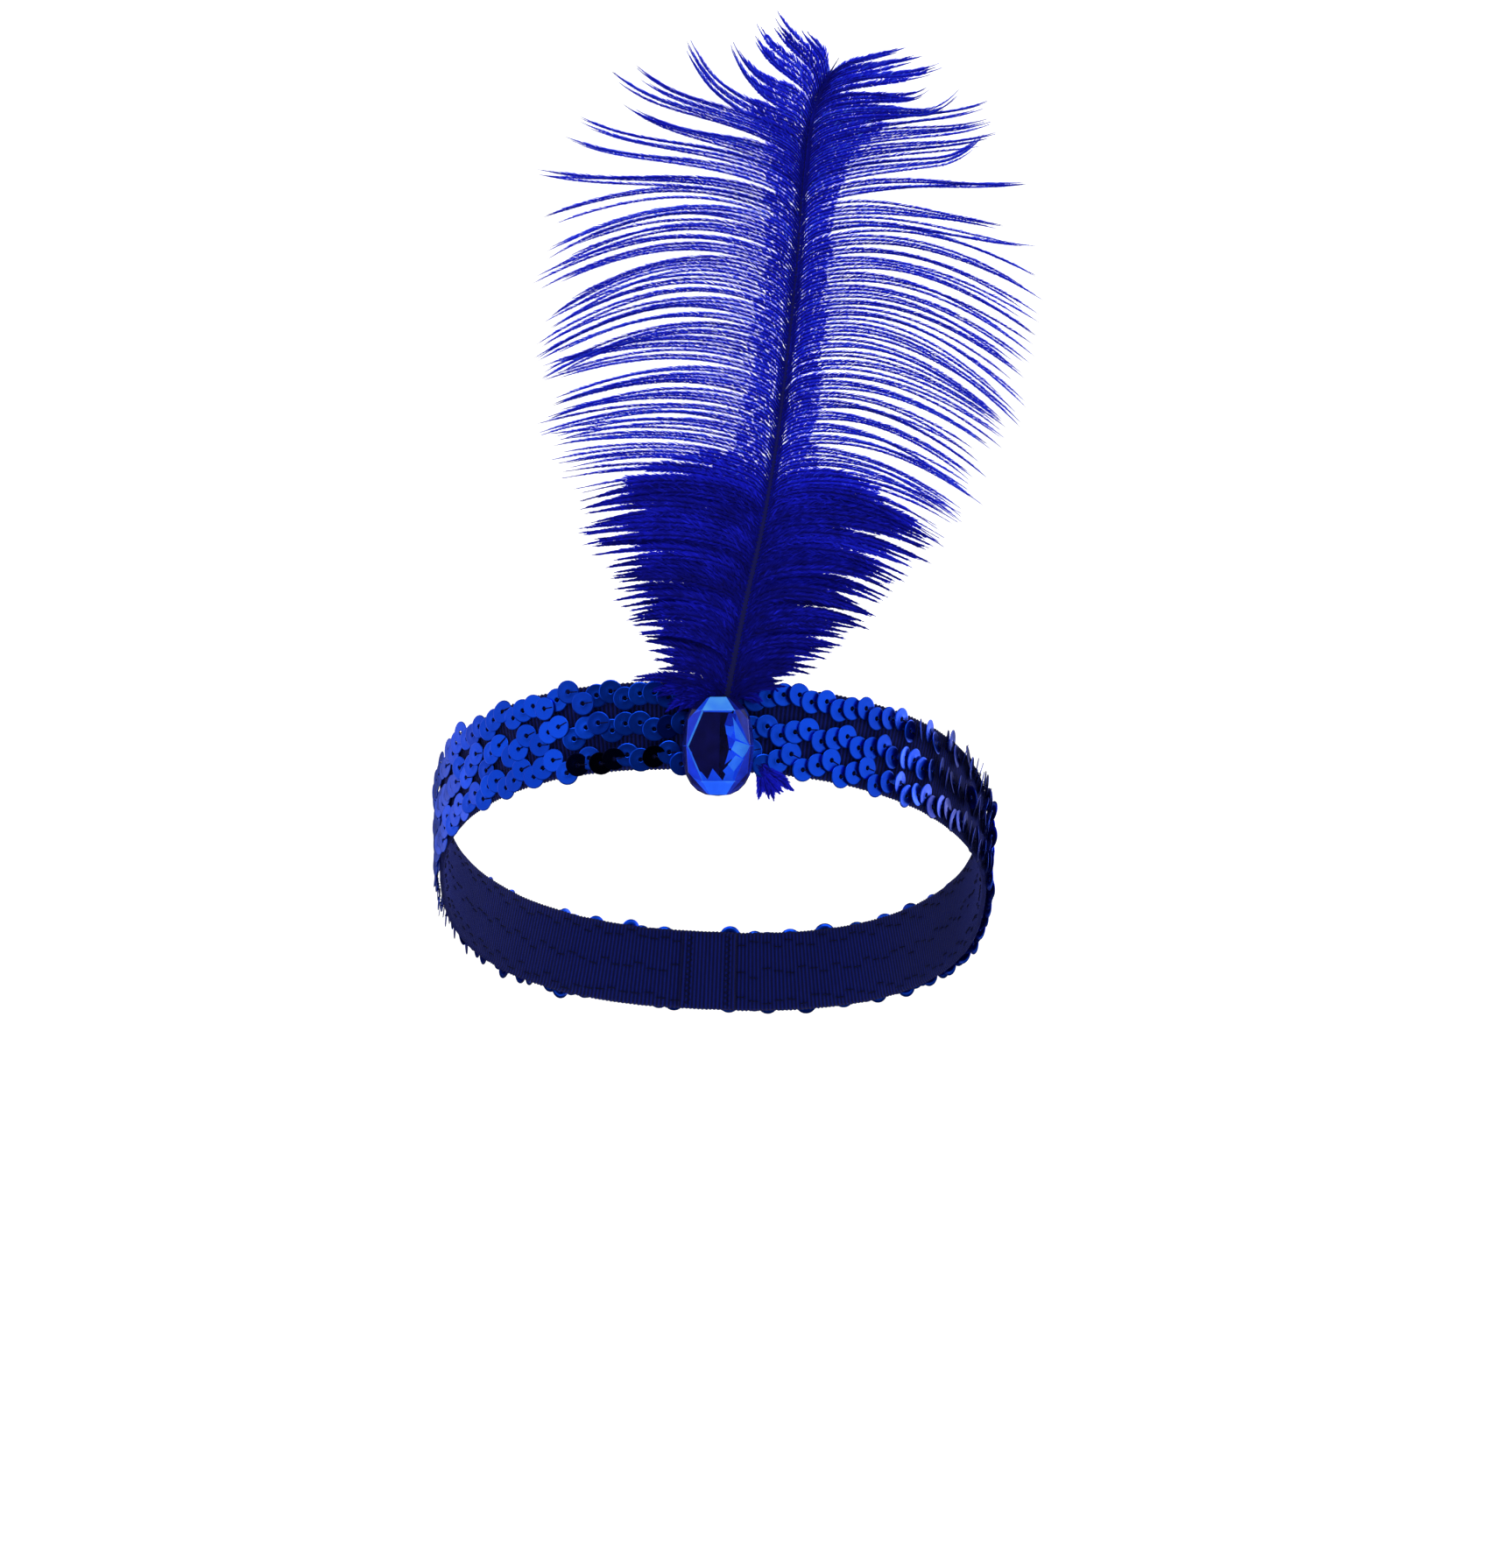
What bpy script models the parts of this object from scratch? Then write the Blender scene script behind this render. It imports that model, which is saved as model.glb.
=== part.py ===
"""Flapper headband, as worn: a ribbed elastic loop with three rows of lapped sequins, an oval cut stone
at the forehead and an upright ostrich plume behind the stone.

Metres, +Z up, the wearer looks along -Y and the wearer's left is +X. The origin is the centre of the head
opening."""

import math

import bmesh
import bpy
import numpy as np
from mathutils import Vector

# Head line
HALF_WIDTH = 0.0725
HALF_DEPTH = 0.087
PLAN_POWER = 2.4
WORN_SLOPE = math.radians(21)
WORN_ROLL = math.radians(2.4)
FRONT_Z = HALF_DEPTH * math.tan(WORN_SLOPE)

# Elastic
BAND_HEIGHT = 0.022
BAND_WALL = 0.0015
BAND_EDGE_ROUND = 0.0004
BAND_FACETS = 72

# Sequins
SEQUIN_RADIUS = 0.003
SEQUIN_PITCH = 0.0035
SEQUINS_A_SIDE = 38
ROW_PITCH = 0.0081
ZIGZAG = (-0.0009, 0.0, 0.0009)
ZIGZAG_START = {"top": 0, "middle": 1, "bottom": 2}
SEQUIN_TILT = 0.16
SEQUIN_STAND_OFF = 0.0011
RIM_SHARES = (1 / 3, 2 / 3)
PLAIN_ROW_HALF = 0.0036
PLAIN_ROW_FACETS = 34
CLEARANCE = 0.0003

# Stone and what holds it
GEM_WIDTH = 0.018
GEM_HEIGHT = 0.025
GEM_DEPTH = 0.006
GEM_SIDES = 24
GEM_POWER = 2.5
GIRDLE_SHARE = 0.16
GEM_DROP = 0.0048
PAD_WIDTH = 0.013
PAD_HEIGHT = 0.018
PAD_WEB = 0.0007
PAD_SIDES = 24

# Plume
QUILL_BASE_RADIUS = 0.0011
QUILL_TIP_RADIUS = 0.00025
QUILL_POINTS = 24
QUILL_SMOOTHING = 0.003
PLUME_CURL = 0.008
VANE_STRIP = 0.0012
VANE_BASE_HALF = 0.0008
VANE_TIP_HALF = 0.0004
LOCK_FILL = 0.9
LOCK_RINGS = 5
LOCKS_A_SIDE = 22
LOCK_ARCH = 0.005
LOCK_NARROWS = 0.85
LOCK_NARROWS_LATE = 2.5
LOCK_THINS = 0.6
VANE_BOTTOM = 0.007
VANE_TOP = 0.1655

SEQUIN_FACE = HALF_DEPTH + SEQUIN_STAND_OFF + SEQUIN_TILT * SEQUIN_RADIUS
QUILL_DEPTH = SEQUIN_FACE + CLEARANCE + QUILL_BASE_RADIUS
PAD_BACK = SEQUIN_FACE + CLEARANCE
PAD_FACE = QUILL_DEPTH + QUILL_BASE_RADIUS + CLEARANCE + PAD_WEB
GEM_BACK = PAD_FACE + CLEARANCE

# Corners of one quarter of the stone's cut, as shares of its half width, half height and depth
GEM_CUT = (
    {"across": 0.46, "up": 0.71, "out": 1.0},
    {"across": 0.88, "up": 0.0, "out": 1.0},
    {"across": 0.24, "up": 0.975, "out": 0.60},
    {"across": 0.975, "up": 0.0, "out": 0.70},
    {"across": 0.72, "up": 0.74, "out": 0.56},
    {"across": 0.82, "up": 0.59, "out": 0.58},
)

# Line of the quill, from the stone's foot to its tip: sideways and height, from the front centre of the band
QUILL_LINE = (
    {"side": -0.0016, "height": -0.0120},
    {"side": 0.0023, "height": 0.0076},
    {"side": 0.0068, "height": 0.0305},
    {"side": 0.0113, "height": 0.0502},
    {"side": 0.0149, "height": 0.0721},
    {"side": 0.0175, "height": 0.0939},
    {"side": 0.0197, "height": 0.1158},
    {"side": 0.0212, "height": 0.1377},
    {"side": 0.0229, "height": 0.1530},
    {"side": 0.0268, "height": 0.1617},
    {"side": 0.0301, "height": 0.1665},
)

# Sweep of the barbs in millimetres, by the height of their root on the quill: how far they reach, how strongly
# they first rise and how high their tip ends above the root
BARBS = {
    "root": (8, 18, 32, 52, 64, 76, 87, 98, 108, 118, 128, 138, 144, 150, 154, 158, 163, 166),
    "left_reach": (16, 24, 35, 47, 55, 59, 61, 63, 63, 64, 63, 50, 44, 31, 22, 18, 17, 14),
    "left_rise": (4, 6, 7, 8, 8.5, 9, 9.5, 11.5, 13, 12, 12.5, 12, 11, 9, 8, 7.5, 6.5, 5),
    "left_tip": (4, 5, 4, 3, 3, -1, -4, -8, -8, -4, 2, 18, 20, 20, 20, 18, 12, 11),
    "right_reach": (15, 26, 34, 43, 46, 50, 54, 58, 60, 61, 59, 51, 48, 41, 35, 31, 26, 22),
    "right_rise": (3, 5, 5, 5, 4, 4.5, 5, 7.5, 6.5, 7, 9, 7, 6, 5, 5, 5, 4, 3),
    "right_tip": (4, 2, -3, -8, -13, -16, -18, -20, -17, -11, -7, 5, 9, 9, 8, 6, 5, 3),
}


def head_line():
    """Table of the band's centre line on the elastic's outer face: plan point, outward direction, height, and
    the lengths in plan and along the path, both from the front centre and positive towards +X."""
    turn = np.linspace(-math.pi, math.pi, 2881)
    x = HALF_WIDTH * np.sign(np.sin(turn)) * np.abs(np.sin(turn)) ** (2 / PLAN_POWER)
    y = -HALF_DEPTH * np.sign(np.cos(turn)) * np.abs(np.cos(turn)) ** (2 / PLAN_POWER)
    out_x = np.sign(x) * np.abs(x / HALF_WIDTH) ** (PLAN_POWER - 1) / HALF_WIDTH
    out_y = np.sign(y) * np.abs(y / HALF_DEPTH) ** (PLAN_POWER - 1) / HALF_DEPTH
    size = np.hypot(out_x, out_y)
    z = -y * math.tan(WORN_SLOPE) - x * math.tan(WORN_ROLL)
    plan = np.concatenate([[0], np.cumsum(np.hypot(np.diff(x), np.diff(y)))])
    path = np.concatenate([[0], np.cumsum(np.sqrt(np.diff(x) ** 2 + np.diff(y) ** 2 + np.diff(z) ** 2))])
    return {
        "x": x,
        "y": y,
        "z": z,
        "out_x": out_x / size,
        "out_y": out_y / size,
        "plan": plan - plan[-1] / 2,
        "path": path - path[-1] / 2,
    }


LINE = head_line()
HALF_PATH = LINE["path"][-1]
HALF_PLAN = LINE["plan"][-1]


def on_band(path, across, out):
    """Point of the worn band, from its length along the path, its distance up across the band and its distance
    out from the elastic's face. The band lies like a flat ribbon round an upright head."""
    path = (path + HALF_PATH) % (2 * HALF_PATH) - HALF_PATH
    step = 0.0004
    plan = np.interp(path, LINE["path"], LINE["plan"])
    ahead = np.interp(path + step, LINE["path"], LINE["z"])
    behind = np.interp(path - step, LINE["path"], LINE["z"])
    lean = math.asin((ahead - behind) / (2 * step))
    place = plan - across * math.sin(lean)
    place = (place + HALF_PLAN) % (2 * HALF_PLAN) - HALF_PLAN
    x, y, out_x, out_y = (np.interp(place, LINE["plan"], LINE[key]) for key in ("x", "y", "out_x", "out_y"))
    z = np.interp(path, LINE["path"], LINE["z"]) + across * math.cos(lean)
    return Vector((x + out_x * out, y + out_y * out, z))


def finish(name, mesh_data, colour, roughness, metallic=0.0):
    """A named object in the headband's collection, with its own material."""
    item = bpy.data.objects.new(name, mesh_data)
    bpy.data.collections["flapper_headband"].objects.link(item)
    item.parent = bpy.data.objects["head_seat"]
    material = bpy.data.materials.new(name)
    material.use_nodes = True
    shader = material.node_tree.nodes["Principled BSDF"]
    shader.inputs["Base Color"].default_value = (*colour, 1)
    shader.inputs["Roughness"].default_value = roughness
    shader.inputs["Metallic"].default_value = metallic
    mesh_data.materials.append(material)
    return item


def mesh_from(bm, name):
    bmesh.ops.recalc_face_normals(bm, faces=bm.faces)
    mesh = bpy.data.meshes.new(name)
    bm.to_mesh(mesh)
    bm.free()
    return mesh


def elastic_band():
    """An open strip round the head, given its wall and its rounded edges by modifiers."""
    bm = bmesh.new()
    rings = []
    for k in range(BAND_FACETS):
        path = (k + 0.5) / BAND_FACETS * 2 * HALF_PATH
        rings.append([bm.verts.new(on_band(path, side * BAND_HEIGHT / 2, 0)) for side in (-1, 1)])
    for k in range(BAND_FACETS):
        this, following = rings[k], rings[(k + 1) % BAND_FACETS]
        bm.faces.new((this[0], following[0], following[1], this[1]))
    mesh = bpy.data.meshes.new("elastic_band")
    bm.to_mesh(mesh)
    bm.free()
    band = finish("elastic_band", mesh, (0.006, 0.008, 0.045), 0.75)
    wall = band.modifiers.new("wall", "SOLIDIFY")
    wall.thickness = BAND_WALL
    wall.offset = -1
    rounded = band.modifiers.new("rounded edges", "BEVEL")
    rounded.width = BAND_EDGE_ROUND
    rounded.segments = 1
    rounded.limit_method = "ANGLE"
    rounded.angle_limit = math.radians(50)
    return band


def meeting_points(first, second):
    """Where the outlines of two lapped sequins cross: the upper and the lower point."""
    along, up = second[0] - first[0], second[1] - first[1]
    apart = math.hypot(along, up)
    half_chord = math.sqrt(SEQUIN_RADIUS**2 - (apart / 2) ** 2)
    middle = ((first[0] + second[0]) / 2, (first[1] + second[1]) / 2)
    aside = (-up / apart * half_chord, along / apart * half_chord)
    return (middle[0] + aside[0], middle[1] + aside[1]), (middle[0] - aside[0], middle[1] - aside[1])


def around(centre, start, end, shares):
    """Points on a sequin's rim between two of its points, going counter-clockwise from the first."""
    first = math.atan2(start[1] - centre[1], start[0] - centre[0])
    last = math.atan2(end[1] - centre[1], end[0] - centre[0])
    if last < first:
        last += 2 * math.pi
    points = []
    for share in shares:
        turn = first + (last - first) * share
        points.append((centre[0] + SEQUIN_RADIUS * math.cos(turn), centre[1] + SEQUIN_RADIUS * math.sin(turn)))
    return points


def row_layout(row, lane):
    """Centres of a row's sequins, and the seams where each meets the next: an upper and a lower point. The
    first and last seams stand straight across the row's ends."""
    count = 2 * SEQUINS_A_SIDE
    centres = []
    for i in range(count):
        zigzag = ZIGZAG[(i + ZIGZAG_START[row]) % len(ZIGZAG)]
        centres.append(((i - SEQUINS_A_SIDE + 0.5) * SEQUIN_PITCH, lane + zigzag))
    half_lap = math.sqrt(SEQUIN_RADIUS**2 - (SEQUIN_PITCH / 2) ** 2)
    seams = [meeting_points(centres[i], centres[i + 1]) for i in range(count - 1)]
    for centre, shift, place in ((centres[0], -0.5, 0), (centres[-1], 0.5, count)):
        along = centre[0] + shift * SEQUIN_PITCH
        seams.insert(place, ((along, centre[1] + half_lap), (along, centre[1] - half_lap)))
    return centres, seams


def sequin_row(row, lane):
    """A row of lapped ten-sided sequins over the front half, each one's left edge standing over its neighbour,
    and a plain strip behind the head, fused into one ring."""
    bm = bmesh.new()

    def corner(point, out):
        return bm.verts.new(on_band(point[0], point[1], out))

    def face(point, centre):
        """A corner on a sequin's sloping face."""
        return corner(point, SEQUIN_STAND_OFF - SEQUIN_TILT * (point[0] - centre[0]))

    centres, seams = row_layout(row, lane)
    backs = [(corner(top, CLEARANCE), corner(low, CLEARANCE)) for top, low in seams]
    rims = [around(centre, *seam, RIM_SHARES) for centre, seam in zip(centres, seams)]
    low_out = SEQUIN_STAND_OFF - SEQUIN_TILT * SEQUIN_PITCH / 2
    covered = [corner(point, low_out) for point in (seams[0][0], *rims[0], seams[0][1])]
    first_covered = covered
    for i, centre in enumerate(centres):
        (left_top, left_low), (right_top, right_low) = seams[i], seams[i + 1]
        raised = [face(point, centre) for point in (left_top, *rims[i], left_low)]
        upper = around(centre, right_top, left_top, (0.5,))[0]
        lower = around(centre, left_low, right_low, (0.5,))[0]
        top, low = face(upper, centre), face(lower, centre)
        top_back, low_back = corner(upper, CLEARANCE), corner(lower, CLEARANCE)
        for k in range(len(raised) - 1):
            bm.faces.new((covered[k], raised[k], raised[k + 1], covered[k + 1]))
        next_rim = rims[i + 1] if i + 1 < len(rims) else ()
        next_covered = [face(point, centre) for point in (right_top, *next_rim, right_low)]
        bm.faces.new((*raised, low, *reversed(next_covered), top))
        bm.faces.new((backs[i][0], covered[0], raised[0], top, top_back))
        bm.faces.new((top_back, top, next_covered[0], backs[i + 1][0]))
        bm.faces.new((backs[i][1], low_back, low, raised[-1], covered[-1]))
        bm.faces.new((low_back, backs[i + 1][1], next_covered[-1], low))
        bm.faces.new((backs[i][0], top_back, backs[i + 1][0], backs[i + 1][1], low_back, backs[i][1]))
        covered = next_covered

    # Plain strip from the last sequin round the back to the first
    end, start = seams[-1][0][0], seams[0][0][0]
    sections = [[covered[0], covered[-1], *backs[-1]]]
    for k in range(1, PLAIN_ROW_FACETS):
        place = end + (2 * HALF_PATH - end + start) * k / PLAIN_ROW_FACETS
        edges = ((place, lane + PLAIN_ROW_HALF), (place, lane - PLAIN_ROW_HALF))
        sections.append([corner(edge, out) for out in (SEQUIN_STAND_OFF, CLEARANCE) for edge in edges])
    sections.append([first_covered[0], first_covered[-1], *backs[0]])
    for this, following in zip(sections, sections[1:]):
        front = first_covered if following is sections[-1] else following[:2]
        bm.faces.new((this[0], this[1], *reversed(front)))
        bm.faces.new((this[2], following[2], following[3], this[3]))
        bm.faces.new((this[0], following[0], following[2], this[2]))
        bm.faces.new((this[1], this[3], following[3], following[1]))
    name = "sequin_row_" + row
    return finish(name, mesh_from(bm, name), (0.02, 0.08, 0.75), 0.25, 0.7)


def gem():
    """An oval stone cut with a six-sided table, a sloping crown and steep facets down to a flat back."""
    bm = bmesh.new()
    half_x, half_z = GEM_WIDTH / 2, GEM_HEIGHT / 2
    for point in GEM_CUT:
        x, z = point["across"] * half_x, point["up"] * half_z
        for side in (-1, 1):
            for up in (-1, 1) if z else (1,):
                bm.verts.new((side * x, -point["out"] * GEM_DEPTH, up * z))
    for share_out in (0.0, GIRDLE_SHARE):
        for k in range(GEM_SIDES):
            angle = 2 * math.pi * k / GEM_SIDES
            x, z = (
                half * math.copysign(abs(turn) ** (2 / GEM_POWER), turn)
                for half, turn in ((half_x, math.cos(angle)), (half_z, math.sin(angle)))
            )
            bm.verts.new((x, -share_out * GEM_DEPTH, z))
    bmesh.ops.convex_hull(bm, input=bm.verts)
    bmesh.ops.dissolve_limit(bm, angle_limit=math.radians(0.5), verts=bm.verts, edges=bm.edges)
    stone = finish("gem", mesh_from(bm, "gem"), (0.02, 0.10, 0.80), 0.05)
    stone.location = (0, -GEM_BACK, FRONT_Z - GEM_DROP)
    return stone


def quill_point(height):
    """Sideways place of the quill at a height above the band's front centre, and its direction there."""
    heights = [row["height"] for row in QUILL_LINE]
    sides = [row["side"] for row in QUILL_LINE]
    smooth = [np.interp(height + k * QUILL_SMOOTHING, heights, sides) for k in range(-2, 3)]
    slope = (smooth[-1] - smooth[0]) / (4 * QUILL_SMOOTHING)
    return float(np.mean(smooth)), slope


def quill_radius(height):
    share = min(max((height - VANE_BOTTOM) / (VANE_TOP - VANE_BOTTOM), 0), 1)
    return QUILL_BASE_RADIUS + (QUILL_TIP_RADIUS - QUILL_BASE_RADIUS) * share


def curl(height):
    """How far the plume leans forward at a height."""
    return PLUME_CURL * max(0, height / VANE_TOP) ** 2


def quill():
    curve = bpy.data.curves.new("quill", "CURVE")
    curve.dimensions = "3D"
    curve.bevel_depth = QUILL_BASE_RADIUS
    curve.bevel_resolution = 2
    curve.use_fill_caps = True
    first, last = QUILL_LINE[0]["height"], VANE_TOP
    heights = [first + (last - first) * k / (QUILL_POINTS - 1) for k in range(QUILL_POINTS)]
    spline = curve.splines.new("POLY")
    spline.points.add(len(heights) - 1)
    for point, height in zip(spline.points, heights):
        point.co = (quill_point(height)[0], -curl(height), height, 1)
        point.radius = quill_radius(height) / QUILL_BASE_RADIUS
    shaft = finish("quill", curve, (0.006, 0.006, 0.06), 0.4)
    shaft.location = (0, -QUILL_DEPTH, FRONT_Z)
    return shaft


def glue_pad():
    """A plain oval pad between the sequins and the stone, with a groove in its back for the quill."""
    foot, slope = quill_point(-GEM_DROP)
    bm = bmesh.new()
    bmesh.ops.create_cone(bm, cap_ends=True, segments=PAD_SIDES, radius1=0.5, radius2=0.5, depth=1)
    thick = PAD_FACE - PAD_BACK
    for vert in bm.verts:
        vert.co = (vert.co.x * PAD_WIDTH, vert.co.z * thick, vert.co.y * PAD_HEIGHT)
    pad = finish("glue_pad", mesh_from(bm, "glue_pad"), (0.01, 0.01, 0.08), 0.6)
    pad.location = (0, -(PAD_FACE + PAD_BACK) / 2, FRONT_Z - GEM_DROP)

    bm = bmesh.new()
    bmesh.ops.create_cube(bm, size=1)
    groove_width = 2 * (QUILL_BASE_RADIUS + CLEARANCE)
    groove_depth = 2 * (thick - PAD_WEB)
    for vert in bm.verts:
        vert.co = (vert.co.x * groove_width, vert.co.y * groove_depth, vert.co.z * PAD_HEIGHT * 2)
    groove = bpy.data.objects.new("quill_groove", mesh_from(bm, "quill_groove"))
    bpy.data.collections["cutters"].objects.link(groove)
    groove.location = (foot, -PAD_BACK, FRONT_Z - GEM_DROP)
    groove.rotation_euler = (0, math.atan(slope), 0)
    groove.hide_render = True
    groove.display_type = "WIRE"
    cut = pad.modifiers.new("groove", "BOOLEAN")
    cut.object = groove
    return pad


def barb(side, root, share):
    """Point along a barb from the quill's axis, and its slope there, seen from the front."""
    word = "left" if side < 0 else "right"
    rows = [value / 1000 for value in BARBS["root"]]
    reach, rise, tip = (
        np.interp(root, rows, BARBS[word + key]) / 1000 for key in ("_reach", "_rise", "_tip")
    )
    across = reach * share
    up = rise * (1 - (1 - share) ** 3) + (tip - rise) * share**2
    slope = (rise * 3 * (1 - share) ** 2 + 2 * (tip - rise) * share) / reach
    return side * across, up, side * slope


def grow_lock(bm, ring, side, root, pitch):
    """A tapering lock of barbs, grown from a four-sided ring on the strip: low front, low back, high back and
    high front."""
    base = sum((vert.co for vert in ring), Vector()) / 4
    half = (ring[1].co.y - ring[0].co.y) / 2
    for step in range(1, LOCK_RINGS + 1):
        share = step / LOCK_RINGS
        across, up, slope = barb(side, root, share)
        taper = 1 - LOCK_NARROWS * share**LOCK_NARROWS_LATE
        width = pitch / 2 * LOCK_FILL * taper / math.hypot(1, slope)
        thick = half * (1 - LOCK_THINS * share)
        centre = base + Vector((across, -LOCK_ARCH * share**2, up))
        normal = Vector((-slope, 0, 1)).normalized()
        corners = ((-width, -thick), (-width, thick), (width, thick), (width, -thick))
        new_ring = [bm.verts.new(centre + normal * rise + Vector((0, back, 0))) for rise, back in corners]
        for a in range(4):
            b = (a + 1) % 4
            bm.faces.new((ring[a], ring[b], new_ring[b], new_ring[a]))
        ring = new_ring
    bm.faces.new(ring)


def plume_side(side):
    """One side of the plume: a strip along the quill, with a lock grown from each of its facets. On the left
    one more stands on its top."""
    bm = bmesh.new()
    stations = [VANE_BOTTOM + (VANE_TOP - VANE_BOTTOM) * k / LOCKS_A_SIDE for k in range(LOCKS_A_SIDE + 1)]
    pitch = stations[1] - stations[0]
    inner, outer = [], []
    for height in stations:
        place, slope = quill_point(height)
        share = (height - VANE_BOTTOM) / (VANE_TOP - VANE_BOTTOM)
        half = VANE_BASE_HALF + (VANE_TIP_HALF - VANE_BASE_HALF) * share
        aside = Vector((side, 0, -side * slope)).normalized()
        centre = Vector((place, -curl(height), height))
        near = centre + aside * (quill_radius(height) + CLEARANCE)
        far = near + aside * VANE_STRIP
        inner.append([bm.verts.new(near + Vector((0, y, 0))) for y in (-half, half)])
        outer.append([bm.verts.new(far + Vector((0, y, 0))) for y in (-half, half)])
    for k in range(LOCKS_A_SIDE):
        bm.faces.new((inner[k][0], inner[k + 1][0], inner[k + 1][1], inner[k][1]))
        bm.faces.new((inner[k][0], outer[k][0], outer[k + 1][0], inner[k + 1][0]))
        bm.faces.new((inner[k][1], inner[k + 1][1], outer[k + 1][1], outer[k][1]))
        ring = [outer[k][0], outer[k][1], outer[k + 1][1], outer[k + 1][0]]
        grow_lock(bm, ring, side, (stations[k] + stations[k + 1]) / 2, pitch)
    bm.faces.new((inner[0][0], inner[0][1], outer[0][1], outer[0][0]))
    top = [outer[-1][0], outer[-1][1], inner[-1][1], inner[-1][0]]
    if side < 0:
        grow_lock(bm, top, side, VANE_TOP, pitch / 2)
    else:
        bm.faces.new(top)
    name = "plume_left" if side < 0 else "plume_right"
    vane = finish(name, mesh_from(bm, name), (0.02, 0.02, 0.55), 0.8)
    vane.location = (0, -QUILL_DEPTH, FRONT_Z)
    return vane


def main():
    for item in list(bpy.data.objects):
        bpy.data.objects.remove(item, do_unlink=True)
    for name in ("flapper_headband", "cutters"):
        bpy.context.scene.collection.children.link(bpy.data.collections.new(name))
    bpy.data.collections["cutters"].hide_render = True
    seat = bpy.data.objects.new("head_seat", None)
    bpy.data.collections["flapper_headband"].objects.link(seat)
    elastic_band()
    for row, lane in (("top", ROW_PITCH), ("middle", 0.0), ("bottom", -ROW_PITCH)):
        sequin_row(row, lane)
    gem()
    glue_pad()
    quill()
    for side in (-1, 1):
        plume_side(side)


main()
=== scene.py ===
"""Looks of the flapper headband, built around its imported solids: foil sequins sewn in three rows to a
ribbed elastic, an oval cut stone over dark and bright facets, and an ostrich plume made barb by barb.

Metres, +Z up, and the front faces -Y, as in the CAD. Names and numbers that place the parts repeat it."""

import math

import bmesh
import bpy
import numpy as np
from mathutils import Matrix, Vector

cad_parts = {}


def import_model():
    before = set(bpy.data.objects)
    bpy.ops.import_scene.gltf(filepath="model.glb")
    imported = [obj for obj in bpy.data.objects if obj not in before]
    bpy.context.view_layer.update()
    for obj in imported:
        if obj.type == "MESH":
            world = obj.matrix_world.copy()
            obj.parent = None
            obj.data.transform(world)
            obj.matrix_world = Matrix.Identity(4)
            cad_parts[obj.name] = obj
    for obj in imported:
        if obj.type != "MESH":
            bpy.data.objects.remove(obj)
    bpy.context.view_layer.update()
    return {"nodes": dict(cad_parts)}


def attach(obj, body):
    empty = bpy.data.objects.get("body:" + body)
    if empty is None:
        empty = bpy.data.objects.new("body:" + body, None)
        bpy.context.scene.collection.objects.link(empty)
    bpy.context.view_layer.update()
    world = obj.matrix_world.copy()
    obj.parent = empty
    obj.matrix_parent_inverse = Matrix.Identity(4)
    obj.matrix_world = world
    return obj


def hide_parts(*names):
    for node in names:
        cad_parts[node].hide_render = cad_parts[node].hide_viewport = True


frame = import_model()


def table(columns, *rows):
    """Rows of values under the names of their columns."""
    return [dict(zip(columns.split(), row)) for row in rows]


# Head line
HALF_WIDTH = 0.0725
HALF_DEPTH = 0.087
PLAN_POWER = 2.4
WORN_SLOPE = math.radians(21)
WORN_ROLL = math.radians(2.4)
FRONT_Z = HALF_DEPTH * math.tan(WORN_SLOPE)
HEAD_LINE_POINTS = 2881

# Elastic
BAND_HEIGHT = 0.022
BAND_WALL = 0.0015
RIB_PITCH = 0.0011
RIB_DEPTH = 0.00022
RIB_SAMPLES = 4
EDGE_ROLL = 0.00012
EDGE_SCALLOP = 0.0003
FACE_SCALLOP = 0.00018
EDGE_WOBBLE = 0.00004
JOIN_LENGTH = 0.016
JOIN_WALL = 0.0008
JOIN_GAP = 0.0001
JOIN_GRID = (60, 12)
SEAM_OFFSET = 0.0055
SEAM_SWING = 0.0010
SEAM_ARCH = 0.0003
SEAM_STEPS = 26

# Rows of points up each face of the elastic: the share of its half height, and how fully its ribs show
FACE_ROWS = ((-0.93, 0.0), (-0.62, 1.0), (-0.3, 1.0), (0.0, 1.0), (0.3, 1.0), (0.62, 1.0), (0.93, 0.0))

# Sequins
SEQUIN_RADIUS = 0.003
SEQUIN_PITCH = 0.0035
SEQUINS_A_ROW = 152
SEQUIN_SIDES = 22
SEQUIN_WALL = 0.00012
ROW_PITCH = 0.0081
ROW_SEEDS = {"top": 11, "middle": 12, "bottom": 13}
ZIGZAG = (-0.0009, 0.0, 0.0009)
ZIGZAG_START = {"top": 0, "middle": 1, "bottom": 2}
SEQUIN_TILT = 0.16
SEQUIN_STAND_OFF = 0.0011
FOIL_RINGS = 16

# On the picture's right of the stone, how much more the rows zigzag and how far they stand off their lane
RIGHT_ZIGZAG = {"top": 0.1, "middle": 0.3, "bottom": 1.0}
RIGHT_WANDER = {"top": 0.0, "middle": -0.0001, "bottom": 0.0007}

# How unevenly the sequins of a row are sewn, how light they are, and how much darker they are painted as
# painted shade
SEQUIN_SCATTER = {
    "path": 0.00013,
    "across": 0.00030,
    "across_left": 0.00045,
    "turn": 0.045,
    "turn_far": 0.13,
    "nod": 0.050,
    "stand": 0.00004,
    "tone": 0.07,
}
SEQUIN_TONE = 0.80
PAINTED_SHADE_BY = 0.42

# Stretches of the rows that sit in their own way: 1 for the picture's right or -1 for its left, and the
# lengths from the front between which each sets in and fades out
STRETCHES = {
    "right": (1, (0.004, 0.010), (0.044, 0.054)),
    "left": (-1, (0.02, 0.035), (0.10, 0.13)),
    "far": (1, (0.047, 0.057), (0.115, 0.14)),
    # The last stretch is where the foil is painted darker: painted shade for the dark it reflects there
    "painted_shade": (1, (0.058, 0.066), (0.10, 0.12)),
}

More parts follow.
